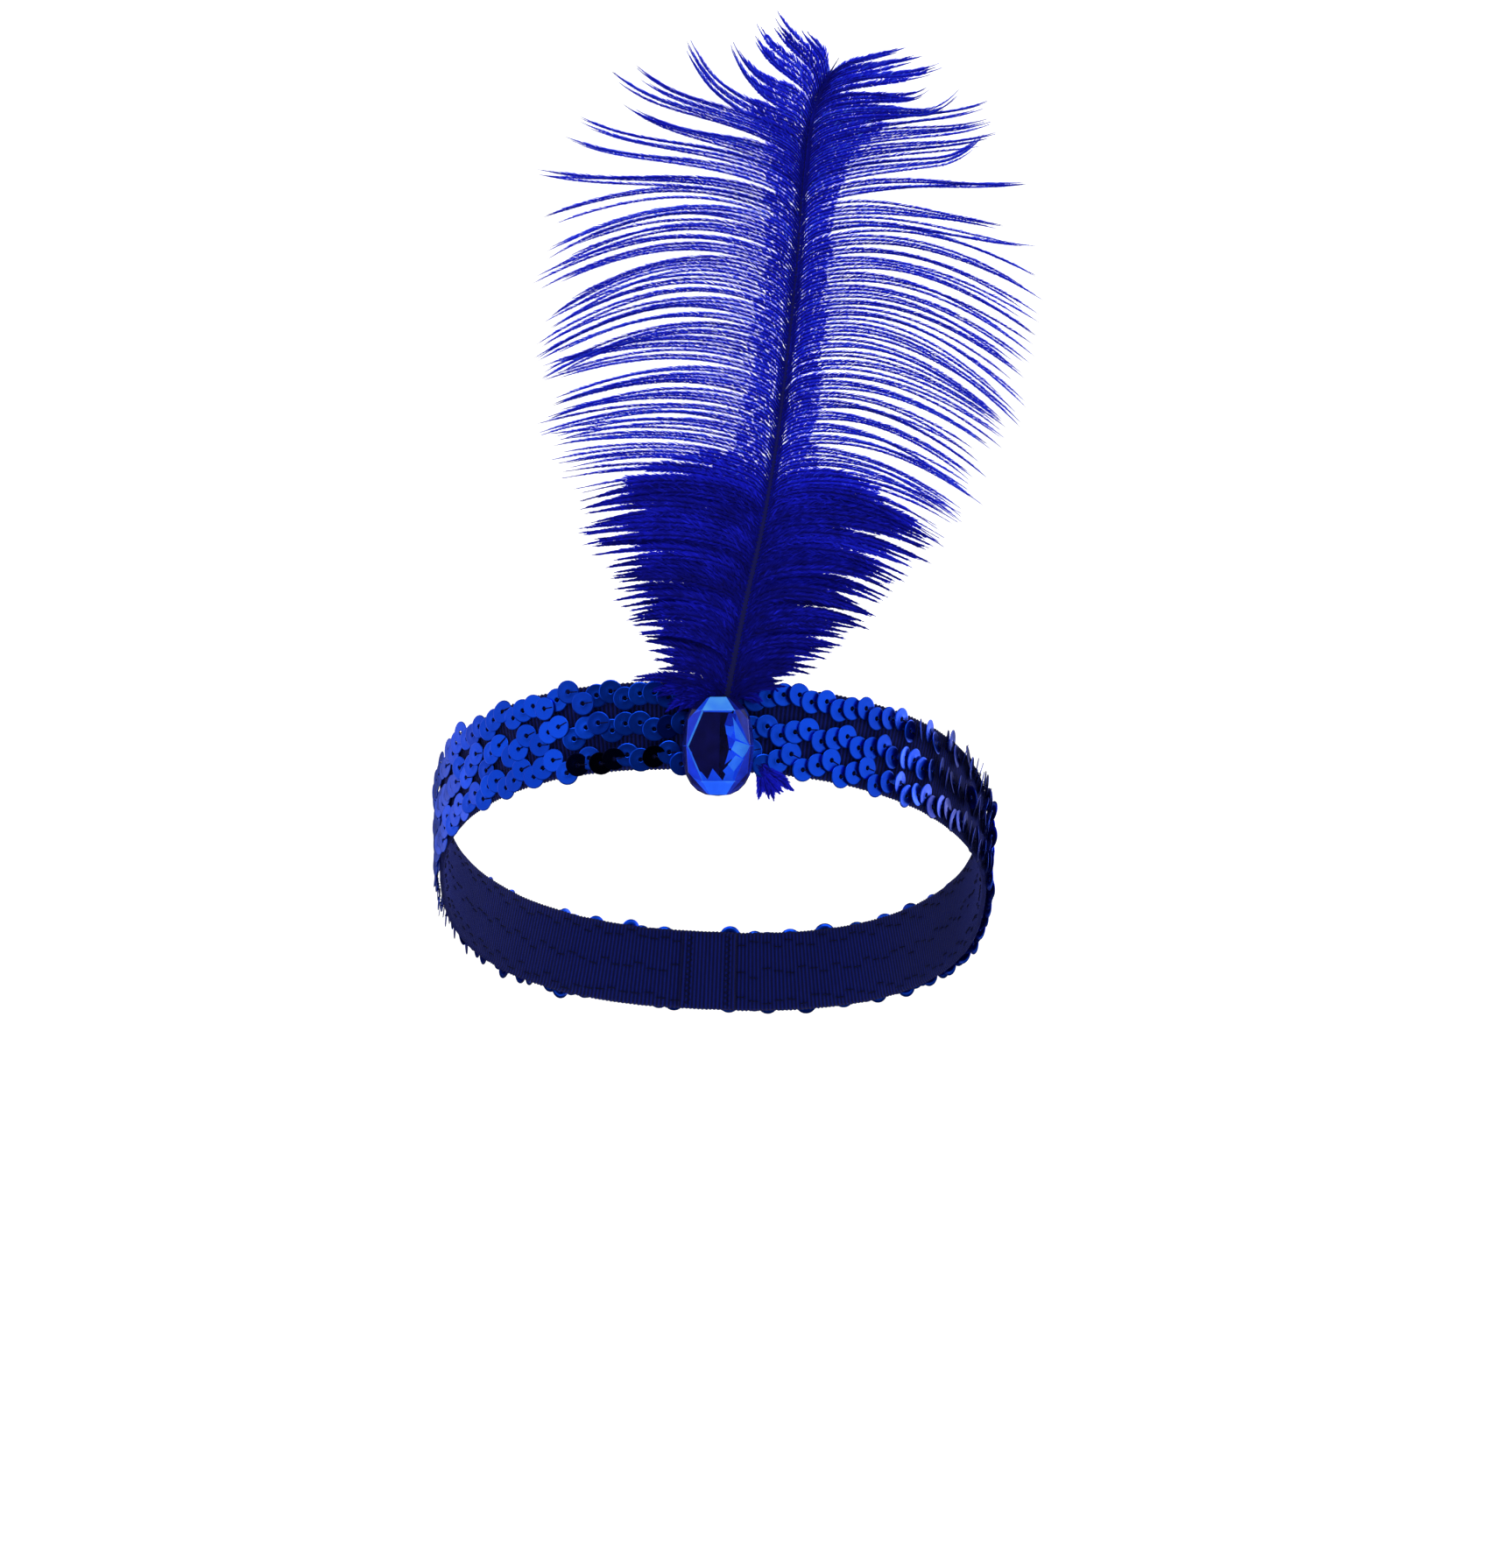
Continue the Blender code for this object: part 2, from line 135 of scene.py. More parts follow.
# Section of a sequin from its hole to its rim, in millimetres: radius and height over its plane. The
# underside repeats three of its points.
SEQUIN_SECTION = (
    (0.55, -0.02),
    (0.60, 0.05),
    (0.78, 0.07),
    (1.05, 0.0),
    (1.90, 0.03),
    (2.60, 0.0),
    (2.90, 0.01),
    (3.00, -0.05),
)
SEQUIN_UNDERSIDE = (-1, 4, 0)

# Sequins that sit oddly: row, sideways place on the front, how far each tips forwards and turns, how
# light it is painted, the dark ones as painted shade and the light ones as painted reflections, and how
# far it stands over its neighbours or up from its lane
ODD_SEQUINS = table(
    "row x nod turn tone over lift",
    ("bottom", -0.0357, 0.34, 0.10, 0.02, 0, 0),
    ("bottom", -0.0298, 0.38, 0.05, 0.0, 0, 0),
    ("bottom", -0.0260, 0.36, -0.04, 0.02, 0, 0),
    ("bottom", -0.0151, 0.36, 0.12, 0.0, 0, 0),
    ("middle", -0.0387, 0.0, -0.20, 1.0, 0.0007, 0),
    ("middle", -0.0330, -0.08, 0.02, 1.0, 0, 0),
    ("middle", -0.0290, 0.05, -0.12, 0.55, 0.0006, 0),
    ("middle", -0.0480, 0.06, 0.05, 0.76, 0, 0),
    ("top", -0.0426, 0.0, -0.16, 0.85, 0.0006, 0),
    ("top", -0.0370, 0.08, -0.10, 0.66, 0, 0),
    ("top", -0.0328, 0.02, -0.18, 0.65, 0.0006, 0),
    ("bottom", -0.0330, 0.10, 0.0, 0.80, 0, 0),
    ("middle", -0.0120, 0.10, 0.05, 0.35, 0, 0),
    ("top", -0.0130, -0.12, 0.02, 0.55, 0, 0),
    ("top", 0.0193, -0.10, 0.0, 0.75, 0, 0.0022),
    ("bottom", 0.0107, -0.10, -0.12, 1.0, 0, 0),
)

# A sequin's thread over its face, and the stitch inside the elastic, in millimetres: along the row, and
# out from the sequin's plane or from the elastic's face
FACE_THREAD = ((-0.10, -0.6), (0.05, 0.16), (0.75, 0.26), (1.5, 0.20), (2.4, 0.10), (2.7, -0.4))
INNER_STITCH = ((-1.3, -1.2), (-1.1, -1.62), (0.0, -1.72), (1.1, -1.62), (1.3, -1.2))
FACE_THREAD_RADIUS = 0.00013
INNER_STITCH_RADIUS = 0.00015
SEAM_THREAD_RADIUS = 0.00014
THREAD_SIDES = 4

# Stone and what holds it
GEM_WIDTH = 0.018
GEM_HEIGHT = 0.025
GEM_DEPTH = 0.006
GEM_SIDES = 24
GEM_POWER = 2.5
GIRDLE_SHARE = 0.16
GEM_DROP = 0.0048
GEM_POLISH = 0.00010
SHARP_EDGE = math.radians(6)
PAD_WEB = 0.0007
CLEARANCE = 0.0003

# Corners of the stone's crown in one quarter, as shares of its half width, its half height and its depth
GEM_CUT = table(
    "across up out",
    (0.46, 0.71, 1.0),
    (0.88, 0.0, 1.0),
    (0.24, 0.975, 0.60),
    (0.975, 0.0, 0.70),
    (0.72, 0.74, 0.56),
    (0.82, 0.59, 0.58),
)

# Lines that part the crown's facets painted bright from the ring outside them painted dark, as painted
# reflections and
# shade, in each quarter: along a line across times the first number and up times the second add to one
STONE_RING = ((75.0, 66.5), (106.0, 27.0))

# How far towards the front faces look that count as the table, as a polished edge of it, and as the crown
# inside the ring painted dark, and the largest area of a polished edge and its tone, a painted highlight
TABLE_FACING = 0.985
POLISHED_FACING = 0.8
CROWN_FACING = 0.42
POLISHED_AREA = 0.0000009
POLISHED_HIGHLIGHT_TONE = 0.95

# Painted reflections under the stone's table, as thin facets over its back: how far each stands out from
# the back as a share of the stone's depth, its painted tone, and its corners across and up from the
# stone's centre in millimetres
BACK_INSET = 0.985
BACK_PLANE = 0.0002
BACK_FACETS = table(
    "out tone corners",
    (0.30, 0.12, ((-8.4, 0.0), (-3.9, 9.3), (0.6, 9.3), (0.2, -9.3), (-3.9, -9.3))),
    (0.28, 0.02, ((0.6, 9.3), (4.2, 9.3), (5.4, 6.6), (4.2, 3.2), (3.9, -9.3), (0.2, -9.3))),
    (0.31, 0.00, ((1.2, 3.4), (3.2, 5.2), (4.6, 2.0), (2.4, 0.6))),
    (0.31, 0.15, ((-2.4, 6.2), (0.4, 7.6), (0.2, 2.0), (-3.0, 1.0))),
    (0.33, 0.56, ((4.1, 9.2), (8.5, 0.0), (4.1, -9.2), (2.6, -8.6), (3.6, -3.0), (2.8, 2.0))),
    (0.35, 0.36, ((2.7, 8.4), (4.6, 8.0), (4.4, 5.1), (1.6, 5.1))),
    (0.36, 0.66, ((1.8, 5.2), (4.5, 4.7), (3.1, 2.0), (2.1, 3.0))),
    (0.37, 0.80, ((3.7, 7.4), (7.8, 0.3), (4.4, 1.9))),
    (0.36, 0.48, ((2.3, 2.9), (4.8, 0.8), (2.8, -0.8))),
    (0.38, 0.86, ((4.4, 1.3), (8.4, 0.0), (6.2, -3.1), (3.4, -0.9))),
    (0.36, 0.55, ((2.8, -0.9), (4.5, -2.5), (1.7, -4.7))),
    (0.37, 0.80, ((4.5, -2.4), (6.4, -3.3), (4.0, -6.5), (2.5, -4.7))),
    (0.36, 0.66, ((2.7, -4.7), (4.2, -6.6), (3.4, -9.0), (1.2, -6.3))),
    (0.37, 0.66, ((4.3, -9.2), (2.4, -5.9), (1.0, -9.2))),
    (0.37, 0.62, ((1.6, -9.3), (-1.4, -5.7), (-3.0, -9.3))),
    (0.36, 0.68, ((-2.0, -9.3), (-4.2, -6.6), (-5.6, -6.2), (-4.0, -9.3))),
    (0.35, 0.60, ((-8.5, 0.0), (-6.0, -5.6), (-6.6, -1.6))),
    (0.39, 0.88, ((-4.2, 9.0), (-8.0, 0.0), (-7.4, 0.0), (-3.7, 8.7))),
    (0.39, 0.80, ((-8.0, 0.0), (-4.2, -9.0), (-3.8, -8.5), (-7.5, 0.0))),
    (0.35, 0.62, ((-8.4, 0.4), (-7.0, 1.8), (-5.4, 6.3))),
    (0.35, 0.60, ((-4.0, 9.3), (4.0, 9.3), (3.4, 8.5), (-3.6, 8.6))),
)

# Quill
QUILL_BASE_RADIUS = 0.0011
QUILL_TIP_RADIUS = 0.00025
QUILL_SMOOTHING = 0.003
QUILL_STEPS = 90
QUILL_SIDES = 20
QUILL_POINT_LENGTH = 0.004
QUILL_PAST_VANE = 0.0008
GROOVE_DEPTH = 0.22
GROOVE_WIDTH = 0.35
PLUME_CURL = 0.008
VANE_BOTTOM = 0.007
VANE_TOP = 0.1655

# Where the quill lies from the band's front centre. The last place is past the plume's top and not in the
# CAD: it keeps the smoothing from drawing the tip back.
QUILL_LINE = table(
    "height side",
    (-0.0120, -0.0016),
    (0.0076, 0.0023),
    (0.0305, 0.0068),
    (0.0502, 0.0113),
    (0.0721, 0.0149),
    (0.0939, 0.0175),
    (0.1158, 0.0197),
    (0.1377, 0.0212),
    (0.1530, 0.0229),
    (0.1617, 0.0268),
    (0.1665, 0.0301),
    (0.1761, 0.0367),
)

# How far forward at the front each layer lies from the middle of the head, as in the CAD
SEQUIN_FACE = HALF_DEPTH + SEQUIN_STAND_OFF + SEQUIN_TILT * SEQUIN_RADIUS
QUILL_DEPTH = SEQUIN_FACE + CLEARANCE + QUILL_BASE_RADIUS
PAD_FACE = QUILL_DEPTH + QUILL_BASE_RADIUS + CLEARANCE + PAD_WEB
GEM_BACK = PAD_FACE + CLEARANCE

# Reach of the barbs, their rise and the height of their tips over their root, by the height of that root,
# all in millimetres
BARBS = {
    "root": (8, 18, 32, 52, 64, 76, 87, 98, 108, 118, 128, 138, 144, 150, 154, 158, 163, 166),
    "left_reach": (16, 24, 35, 47, 55, 59, 61, 63, 63, 64, 63, 50, 44, 31, 22, 18, 17, 14),
    "left_rise": (4, 6, 7, 8, 8.5, 9, 9.5, 11.5, 13, 12, 12.5, 12, 11, 9, 8, 7.5, 6.5, 5),
    "left_tip": (4, 5, 4, 3, 3, -1, -4, -8, -8, -4, 2, 18, 20, 20, 20, 18, 12, 11),
    "right_reach": (15, 26, 34, 43, 46, 50, 54, 58, 60, 61, 59, 51, 48, 41, 35, 31, 26, 22),
    "right_rise": (3, 5, 5, 5, 4, 4.5, 5, 7.5, 6.5, 7, 9, 7, 6, 5, 5, 5, 4, 3),
    "right_tip": (4, 2, -3, -8, -13, -16, -18, -20, -17, -11, -7, 5, 9, 9, 8, 6, 5, 3),
}

# Barbs
BARB_PITCH = 0.00096
CROWN_PITCH = 0.8 * BARB_PITCH
CROWN_FROM = 0.136
CROWN_FULL = 0.150
BARB_STEPS = 26
BARB_SIDES = 3
BARB_ARCH = 0.005
BARB_HOOK = 0.0030
HOOK_REACH = 0.0018
BARB_ROOT_RADIUS = 0.00036
BARB_RADIUS = 0.00016
BARB_TIP_RADIUS = 0.00005
DOWNY_BELOW = 0.059
DOWNY_BLEND = 0.012
PLUME_SEEDS = {"left": 21, "right": 22}
SIGN = {"left": -1, "right": 1}

# How barbs differ: scatter of their roots, sizes of the tufts and how far these gather, scatter of reach,
# droop and lean for a tuft and for a barb, scatter of the tips in a lock, how many barbs stray and how
# far, and their slow waves
ROOT_SCATTER = 0.00007
TUFT_SIZES = {1: 0.18, 2: 0.30, 3: 0.27, 4: 0.17, 5: 0.08}
TUFT_PULL = (0.08, 0.66)
REACH_SCATTER = {"tuft": 0.022, "barb": 0.055}
DROOP_SCATTER = {"tuft": 0.0014, "barb": 0.0008}
LEAN_SCATTER = {"tuft": 0.0012, "barb": 0.0004, "lock": 0.0003}
LOCK_SCATTER = 0.0008
STRAY_SHARE = 0.05
STRAY_DROOP = 0.0030
WAVE = 0.0004
FULL_TURN = 6.28

# How much less of these the down has than the vane
CALM = {"hook": 0.35, "pull": 0.6, "stray": 0.7, "droop": 0.65}

# Shares of a barb's length, each as a start and a length from it: where the barbs of a tuft gather and
# their tips part again, and where those of a lock gather and its tip curls
TUFT_GATHERS = (0.10, 0.42)
TUFT_PARTS = (0.8, 0.2)
LOCK_GATHERS = (0.25, 0.68)
LOCK_CURLS = (0.72, 0.28)

# How steeply the crown's barbs leave the quill, by the height of their root in millimetres
CROWN_RISE = {
    "left_root": (127, 133, 140, 146, 151, 155, 159, 166),
    "left": (0.50, 0.52, 0.50, 0.46, 0.50, 0.80, 1.10, 1.35),
    "right_root": (122, 130, 140, 150, 158, 166),
    "right": (0.38, 0.42, 0.42, 0.38, 0.30, 0.15),
}

# Locks of the crown in millimetres from the band's front centre: which roots they gather, where their tip
# ends, how far apart their barbs stay, how far the tip curls up at its end, and how much the lock bends
# up on its way
CROWN = table(
    "side from to x z spread hook bend",
    ("left", 127.0, 129.8, -45.5, 137.5, 0.9, 0.0, 0.0),
    ("left", 129.8, 133.5, -38.0, 146.5, 0.6, 0.5, 0.0),
    ("left", 133.5, 136.6, -34.5, 150.5, 0.5, 0.5, 0.0),
    ("left", 136.6, 139.2, -24.0, 154.6, 0.5, 1.0, 0.0),
    ("left", 139.2, 141.0, -19.0, 152.6, 0.4, 0.8, 0.0),
    ("left", 141.0, 143.6, -27.0, 162.6, 0.6, 1.5, 0.0),
    ("left", 143.6, 146.0, -21.2, 163.2, 0.8, 1.5, 0.0),
    ("left", 146.0, 150.8, -8.2, 170.2, 1.0, 1.5, 0.6),
    ("left", 150.8, 156.0, 3.0, 169.6, 1.3, 0.8, 0.7),
    ("left", 156.0, 160.0, 8.6, 174.4, 1.3, 0.8, 0.3),
    ("left", 160.0, 163.2, 14.0, 175.6, 1.2, 0.0, 0.1),
    ("left", 163.2, 165.6, 21.0, 172.6, 1.0, 0.0, 0.0),
    ("right", 122.0, 125.0, 79.5, 119.0, 0.7, 0.0, 0.0),
    ("right", 125.0, 128.6, 71.0, 124.0, 0.4, -1.0, 0.0),
    ("right", 128.6, 132.0, 76.6, 134.8, 0.4, 0.0, 0.0),
    ("right", 132.0, 136.4, 67.4, 147.6, 0.4, 5.0, 0.0),
    ("right", 136.4, 140.4, 69.8, 146.8, 0.7, 0.5, 0.0),
    ("right", 140.4, 143.8, 68.6, 151.0, 0.5, 1.0, 0.0),
    ("right", 143.8, 147.8, 67.6, 154.8, 0.5, 0.8, 0.0),
    ("right", 147.8, 152.2, 60.4, 156.8, 0.5, 4.5, 0.0),
    ("right", 152.2, 156.6, 53.4, 158.6, 0.9, 2.5, 0.0),
    ("right", 156.6, 160.4, 55.6, 163.4, 1.0, 0.6, 0.0),
    ("right", 160.4, 163.2, 50.0, 166.2, 1.0, 0.0, 0.0),
    ("right", 163.2, 165.6, 46.0, 168.0, 1.0, 0.0, 0.0),
)

# Loose down at the foot in millimetres from the band's front centre: where each strand starts, bends and
# ends, how far out it lies from the sequins' faces, and how many barbs follow it
LOOSE_DOWN = table(
    "start bend end out count",
    ((2.0, 8.5), (-9.8, 13.4), (-21.0, 11.9), 1.2, 4),
    ((1.8, 8.0), (-6.6, 11.2), (-15.5, 8.9), 1.3, 4),
    ((1.6, 7.0), (-6.6, 8.6), (-12.8, 5.6), 1.3, 3),
    ((1.2, 6.0), (-5.0, 7.6), (-9.6, 4.4), 1.2, 2),
    ((2.2, 8.5), (9.4, 12.2), (15.0, 9.6), 1.2, 3),
    ((2.0, 7.0), (6.8, 9.6), (10.4, 6.4), 1.3, 2),
    ((9.4, -9.6), (10.2, -13.6), (10.6, -15.6), -0.7, 4),
    ((9.8, -9.6), (11.4, -13.4), (12.4, -17.0), -0.6, 4),
    ((10.2, -9.8), (12.4, -13.2), (14.0, -17.0), -0.7, 4),
    ((10.6, -9.8), (13.6, -13.0), (15.8, -16.2), -0.6, 4),
    ((11.2, -9.8), (14.6, -12.6), (17.6, -15.0), -0.6, 4),
)
LOOSE_SCATTER = (0.0005, 0.00015, 0.0005)
LOOSE_SPREADS = {"start": 0.5, "bend": 1.2, "end": 2.2}
TUFT_LIKE_ROOT = 0.057
COLLAR_LIKE_ROOT = 0.025

# How far from the quill the side fibres lie close, in millimetres, by the height of the barb's root
DENSE = {
    "root": (0, 62, 100, 128, 136, 146, 156, 166),
    "left": (10.5, 10.5, 10, 9.5, 10, 14, 20, 22),
    "right": (10.5, 10.5, 9.5, 9.5, 12, 22, 27, 27),
}

# Side fibres, close beside the quill and apart further out: how they lean from the barb and reach, how
# much of that they lose towards its tip, their width and what down adds to it, the shade of their foot,
# and how much lighter their tip is painted, a painted backlight through the thin fibres
FIBRES = {
    "close": {"lean": 0.66, "reach": 0.0017, "loses": 0.0, "width": 0.00026, "downy_width": 0.00014},
    "apart": {"lean": 0.44, "reach": 0.0021, "loses": 0.0008, "width": 0.00017, "downy_width": 0.0},
}
FIBRE_SHADES = {"close": {"foot": 0.57, "tip": 0.24}, "apart": {"foot": 0.60, "tip": 0.38}}
UPPER_STEPS = (0.00017, 0.00020)
UNDER_STEPS = (0.00028, 0.00042)
SPARSE_UNDER_STEP = 0.00034
FIBRE_SCATTER = 0.00008
FIBRE_BEHIND = 0.00010
LEAN_SPREAD = 0.08
TURN_SPREAD = 0.30
SHADE_SPREAD = 0.05
# A share of the fibres, picked at random, is painted lighter by this much: painted highlights
HIGHLIGHT_SHARE = 0.04
HIGHLIGHT_BY = 0.26
BARE_ROOT = 0.0003

# Shares of their full reach that the fibres have: at the barb's root, and under the barb where they lie
# close and where they stand apart
ROOTED = {"left": (0.48, 0.95), "right": (0.32, 0.75)}
UNDER_CLOSE = {"left": 0.48, "right": 0.72}
UNDER_APART = 0.42

# Close fibres shorten in waves along the barb, so that light dashes show between the barbs: the length of
# a wave divided by a full turn, how high on the wave they begin to shorten, and by how much they do
CLUMP_LENGTHS = (0.00055, 0.00095)
CLUMP_FROM = 0.1
CLUMP = {"left": 0.47, "right": 0.36}


# Shares and directions
def smooth(share):
    """Eases a share between 0 and 1 in and out."""
    return share * share * (3 - 2 * share)


def ramp(value, start, length):
    """From 0 at start evenly to 1 at a length past it."""
    return np.clip((value - start) / length, 0, 1)


def step_between(value, start, end):
    """A smooth step from 0 at start to 1 at end."""
    return smooth(ramp(value, start, end - start))


def unit(vectors):
    """The vectors at length one, with a guard against none."""
    return vectors / (np.linalg.norm(vectors, axis=-1, keepdims=True) + 1e-12)


# Mesh helpers
def mesh_of(name, points, faces, layers=None):
    """A mesh from an array of points, a list of face arrays and named values for each point."""
    mesh = bpy.data.meshes.new(name)
    points = np.asarray(points, np.float32)
    corners = np.concatenate([np.asarray(part, np.int32).ravel() for part in faces])
    sizes = np.concatenate([np.full(len(part), np.shape(part)[1], np.int32) for part in faces])
    mesh.vertices.add(len(points))
    mesh.vertices.foreach_set("co", points.ravel())
    mesh.loops.add(len(corners))
    mesh.loops.foreach_set("vertex_index", corners)
    mesh.polygons.add(len(sizes))
    mesh.polygons.foreach_set("loop_start", np.concatenate([[0], np.cumsum(sizes)[:-1]]).astype(np.int32))
    mesh.update(calc_edges=True)
    mesh.polygons.foreach_set("use_smooth", np.full(len(sizes), True))
    for key, values in (layers or {}).items():
        layer = mesh.attributes.new(key, "FLOAT", "POINT")
        layer.data.foreach_set("value", np.asarray(values, np.float32))
    return mesh


def add_uv(mesh, name, uv_of_points):
    """A UV map whose corners take the value of their point."""
    corners = np.zeros(len(mesh.loops), np.int32)
    mesh.loops.foreach_get("vertex_index", corners)
    layer = mesh.uv_layers.new(name=name)
    layer.data.foreach_set("uv", np.asarray(uv_of_points, np.float32)[corners].ravel())


def piece(name, mesh, material, replaced=()):
    """A new object of the headband, riding with its one body."""
    item = bpy.data.objects.new(name, mesh)
    bpy.context.scene.collection.objects.link(item)
    mesh.materials.append(material)
    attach(item, "root")
    if replaced:
        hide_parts(*replaced)
    return item


def ring_quads(here, there):
    """Quads between two arrays of point numbers, each closed in a ring along its last axis."""
    return np.stack([here, np.roll(here, -1, -1), np.roll(there, -1, -1), there], -1).reshape(-1, 4)


def tubes(lines, radii, sides):
    """Points, quads and end faces of tubes along several lines with the same number of points. lines is an
    array of lines x steps x 3, and radii is one of lines x steps."""
    count, steps = lines.shape[:2]
    along = unit(np.gradient(lines, axis=1))
    first = unit(np.cross(along, (0.0, -1.0, 0.0)))
    second = np.cross(first, along)
    turn = np.arange(sides) * 2 * math.pi / sides
    around = np.cos(turn)[:, None] * first[:, :, None] + np.sin(turn)[:, None] * second[:, :, None]
    rings = lines[:, :, None] + radii[:, :, None, None] * around
    index = np.arange(count * steps * sides).reshape(count, steps, sides)
    caps = np.concatenate([index[:, 0, ::-1], index[:, -1]])
    return rings.reshape(-1, 3), ring_quads(index[:, :-1], index[:, 1:]), caps


# Band helpers
def head_line():
    """Table of the band's centre line on the elastic's outer face, as in the CAD."""
    turn = np.linspace(-math.pi, math.pi, HEAD_LINE_POINTS)
    x = HALF_WIDTH * np.sign(np.sin(turn)) * np.abs(np.sin(turn)) ** (2 / PLAN_POWER)
    y = -HALF_DEPTH * np.sign(np.cos(turn)) * np.abs(np.cos(turn)) ** (2 / PLAN_POWER)
    out_x = np.sign(x) * np.abs(x / HALF_WIDTH) ** (PLAN_POWER - 1) / HALF_WIDTH
    out_y = np.sign(y) * np.abs(y / HALF_DEPTH) ** (PLAN_POWER - 1) / HALF_DEPTH
    size = np.hypot(out_x, out_y)
    z = -y * math.tan(WORN_SLOPE) - x * math.tan(WORN_ROLL)
    plan = np.concatenate([[0], np.cumsum(np.hypot(np.diff(x), np.diff(y)))])
    path = np.concatenate([[0], np.cumsum(np.sqrt(np.diff(x) ** 2 + np.diff(y) ** 2 + np.diff(z) ** 2))])
    return {
        "x": x,
        "y": y,
        "z": z,
        "out_x": out_x / size,
        "out_y": out_y / size,
        "plan": plan - plan[-1] / 2,
        "path": path - path[-1] / 2,
    }


LINE = head_line()
HALF_PATH = LINE["path"][-1]
HALF_PLAN = LINE["plan"][-1]


def on_band(path, across, out):
    """Points of the worn band, from lengths along its path, distances up across it and distances out from
    the elastic's face."""
    path, across, out = np.broadcast_arrays(*(np.asarray(value, float) for value in (path, across, out)))
    path = (path + HALF_PATH) % (2 * HALF_PATH) - HALF_PATH
    step = 0.0004
    ahead = np.interp(path + step, LINE["path"], LINE["z"])
    behind = np.interp(path - step, LINE["path"], LINE["z"])
    lean = np.arcsin((ahead - behind) / (2 * step))
    place = np.interp(path, LINE["path"], LINE["plan"]) - across * np.sin(lean)
    place = (place + HALF_PLAN) % (2 * HALF_PLAN) - HALF_PLAN
    keys = ("x", "y", "out_x", "out_y")
    x, y, out_x, out_y = (np.interp(place, LINE["plan"], LINE[key]) for key in keys)
    z = np.interp(path, LINE["path"], LINE["z"]) + across * np.cos(lean)
    return np.stack([x + out_x * out, y + out_y * out, z], -1)


def band_frame(path, across):
    """At places of the band: the point on the elastic's face, and the directions along, up and out."""
    step = 0.0003
    along = on_band(path + step, across, 0) - on_band(path - step, across, 0)
    along /= np.linalg.norm(along, axis=-1, keepdims=True)
    up = on_band(path, across + step, 0) - on_band(path, across - step, 0)
    up -= along * (along * up).sum(-1, keepdims=True)
    up /= np.linalg.norm(up, axis=-1, keepdims=True)
    return on_band(path, across, 0), along, up, np.cross(along, up)


# Materials
class Look:
    """A material in the making: its shader, and short ways to add nodes and to join them."""

    def __init__(self, name, inputs):
        self.material = bpy.data.materials.new(name)
        self.material.use_nodes = True
        self.tree = self.material.node_tree
        self.shader = self.tree.nodes["Principled BSDF"]
        self.fill(self.shader, inputs)

    def fill(self, node, inputs):
        """Gives inputs of a node a plain value, or links them to the output of another node."""
        for key, value in inputs.items():
            if isinstance(value, bpy.types.NodeSocket):
                self.tree.links.new(value, node.inputs[key])
            else:
                node.inputs[key].default_value = value

    def node(self, kind, inputs, output, **settings):
        """The named output of a new node."""
        made = self.tree.nodes.new("ShaderNode" + kind)
        for key, value in settings.items():
            setattr(made, key, value)
        self.fill(made, inputs)
        return made.outputs[output]

    def value(self, operation, *inputs, clamp=False):
        """The result of a sum on values."""
        return self.node("Math", dict(enumerate(inputs)), "Value", operation=operation, use_clamp=clamp)

    def attribute(self, name):
        """A value that the mesh holds for each point or face."""
        return self.node("Attribute", {}, "Fac", attribute_name=name)

    def place(self):
        """The object's own coordinates."""
        return self.node("TexCoord", {}, "Object")

    def noise(self, scale, detail, place):
        """Soft noise over the given coordinates."""
        return self.node("TexNoise", {"Vector": place, "Scale": scale, "Detail": detail}, "Fac")

    def colours(self, amount, *stops):
        """Gives the surface the colour of a ramp at an amount. Each stop is a place and its colour."""
        made = self.tree.nodes.new("ShaderNodeValToRGB")
        elements = made.color_ramp.elements
        while len(elements) < len(stops):
            elements.new(0.5)
        for element, (place, colour) in zip(elements, stops):
            element.position = place
            element.color = (*colour, 1)
        self.fill(made, {"Fac": amount})
        self.fill(self.shader, {"Base Color": made.outputs["Color"]})
        return made.outputs["Color"]

    def relief(self, height, strength, distance):
        """Gives the surface fine bumps."""
        bump = self.node("Bump", {"Strength": strength, "Distance": distance, "Height": height}, "Normal")
        self.fill(self.shader, {"Normal": bump})

    def roughness(self, amount, low, high):
        """Makes the surface's roughness follow an amount from 0 to 1."""
        rough = self.node("MapRange", {"Value": amount, "To Min": low, "To Max": high}, "Result")
        self.fill(self.shader, {"Roughness": rough})


def foil_material():
    """Blue foil under clear film: pressed rings round the hole, scratches, and a tone for each sequin."""
    look = Look("blue_foil", {"Metallic": 1.0, "Coat Weight": 0.04, "Coat Roughness": 0.15})
    look.colours(
        look.attribute("tone"),
        (0.0, (0.0005, 0.001, 0.012)),
        (0.3, (0.0015, 0.018, 0.30)),
        (1.0, (0.006, 0.092, 1.0)),
    )
    disc = look.node("UVMap", {}, "UV", uv_map="disc")
    from_centre = look.node("VectorMath", {0: disc, 1: (0.5, 0.5, 0.0)}, "Vector", operation="SUBTRACT")
    radius = look.node("VectorMath", {0: from_centre}, "Value", operation="LENGTH")
    rings = look.value("SINE", look.value("MULTIPLY", radius, 2 * math.pi * FOIL_RINGS))
    scratches = look.noise(900, 2, look.place())
    look.relief(look.value("MULTIPLY_ADD", rings, 0.35, scratches), 0.25, 0.00006)
    look.roughness(scratches, 0.24, 0.40)
    return look.material


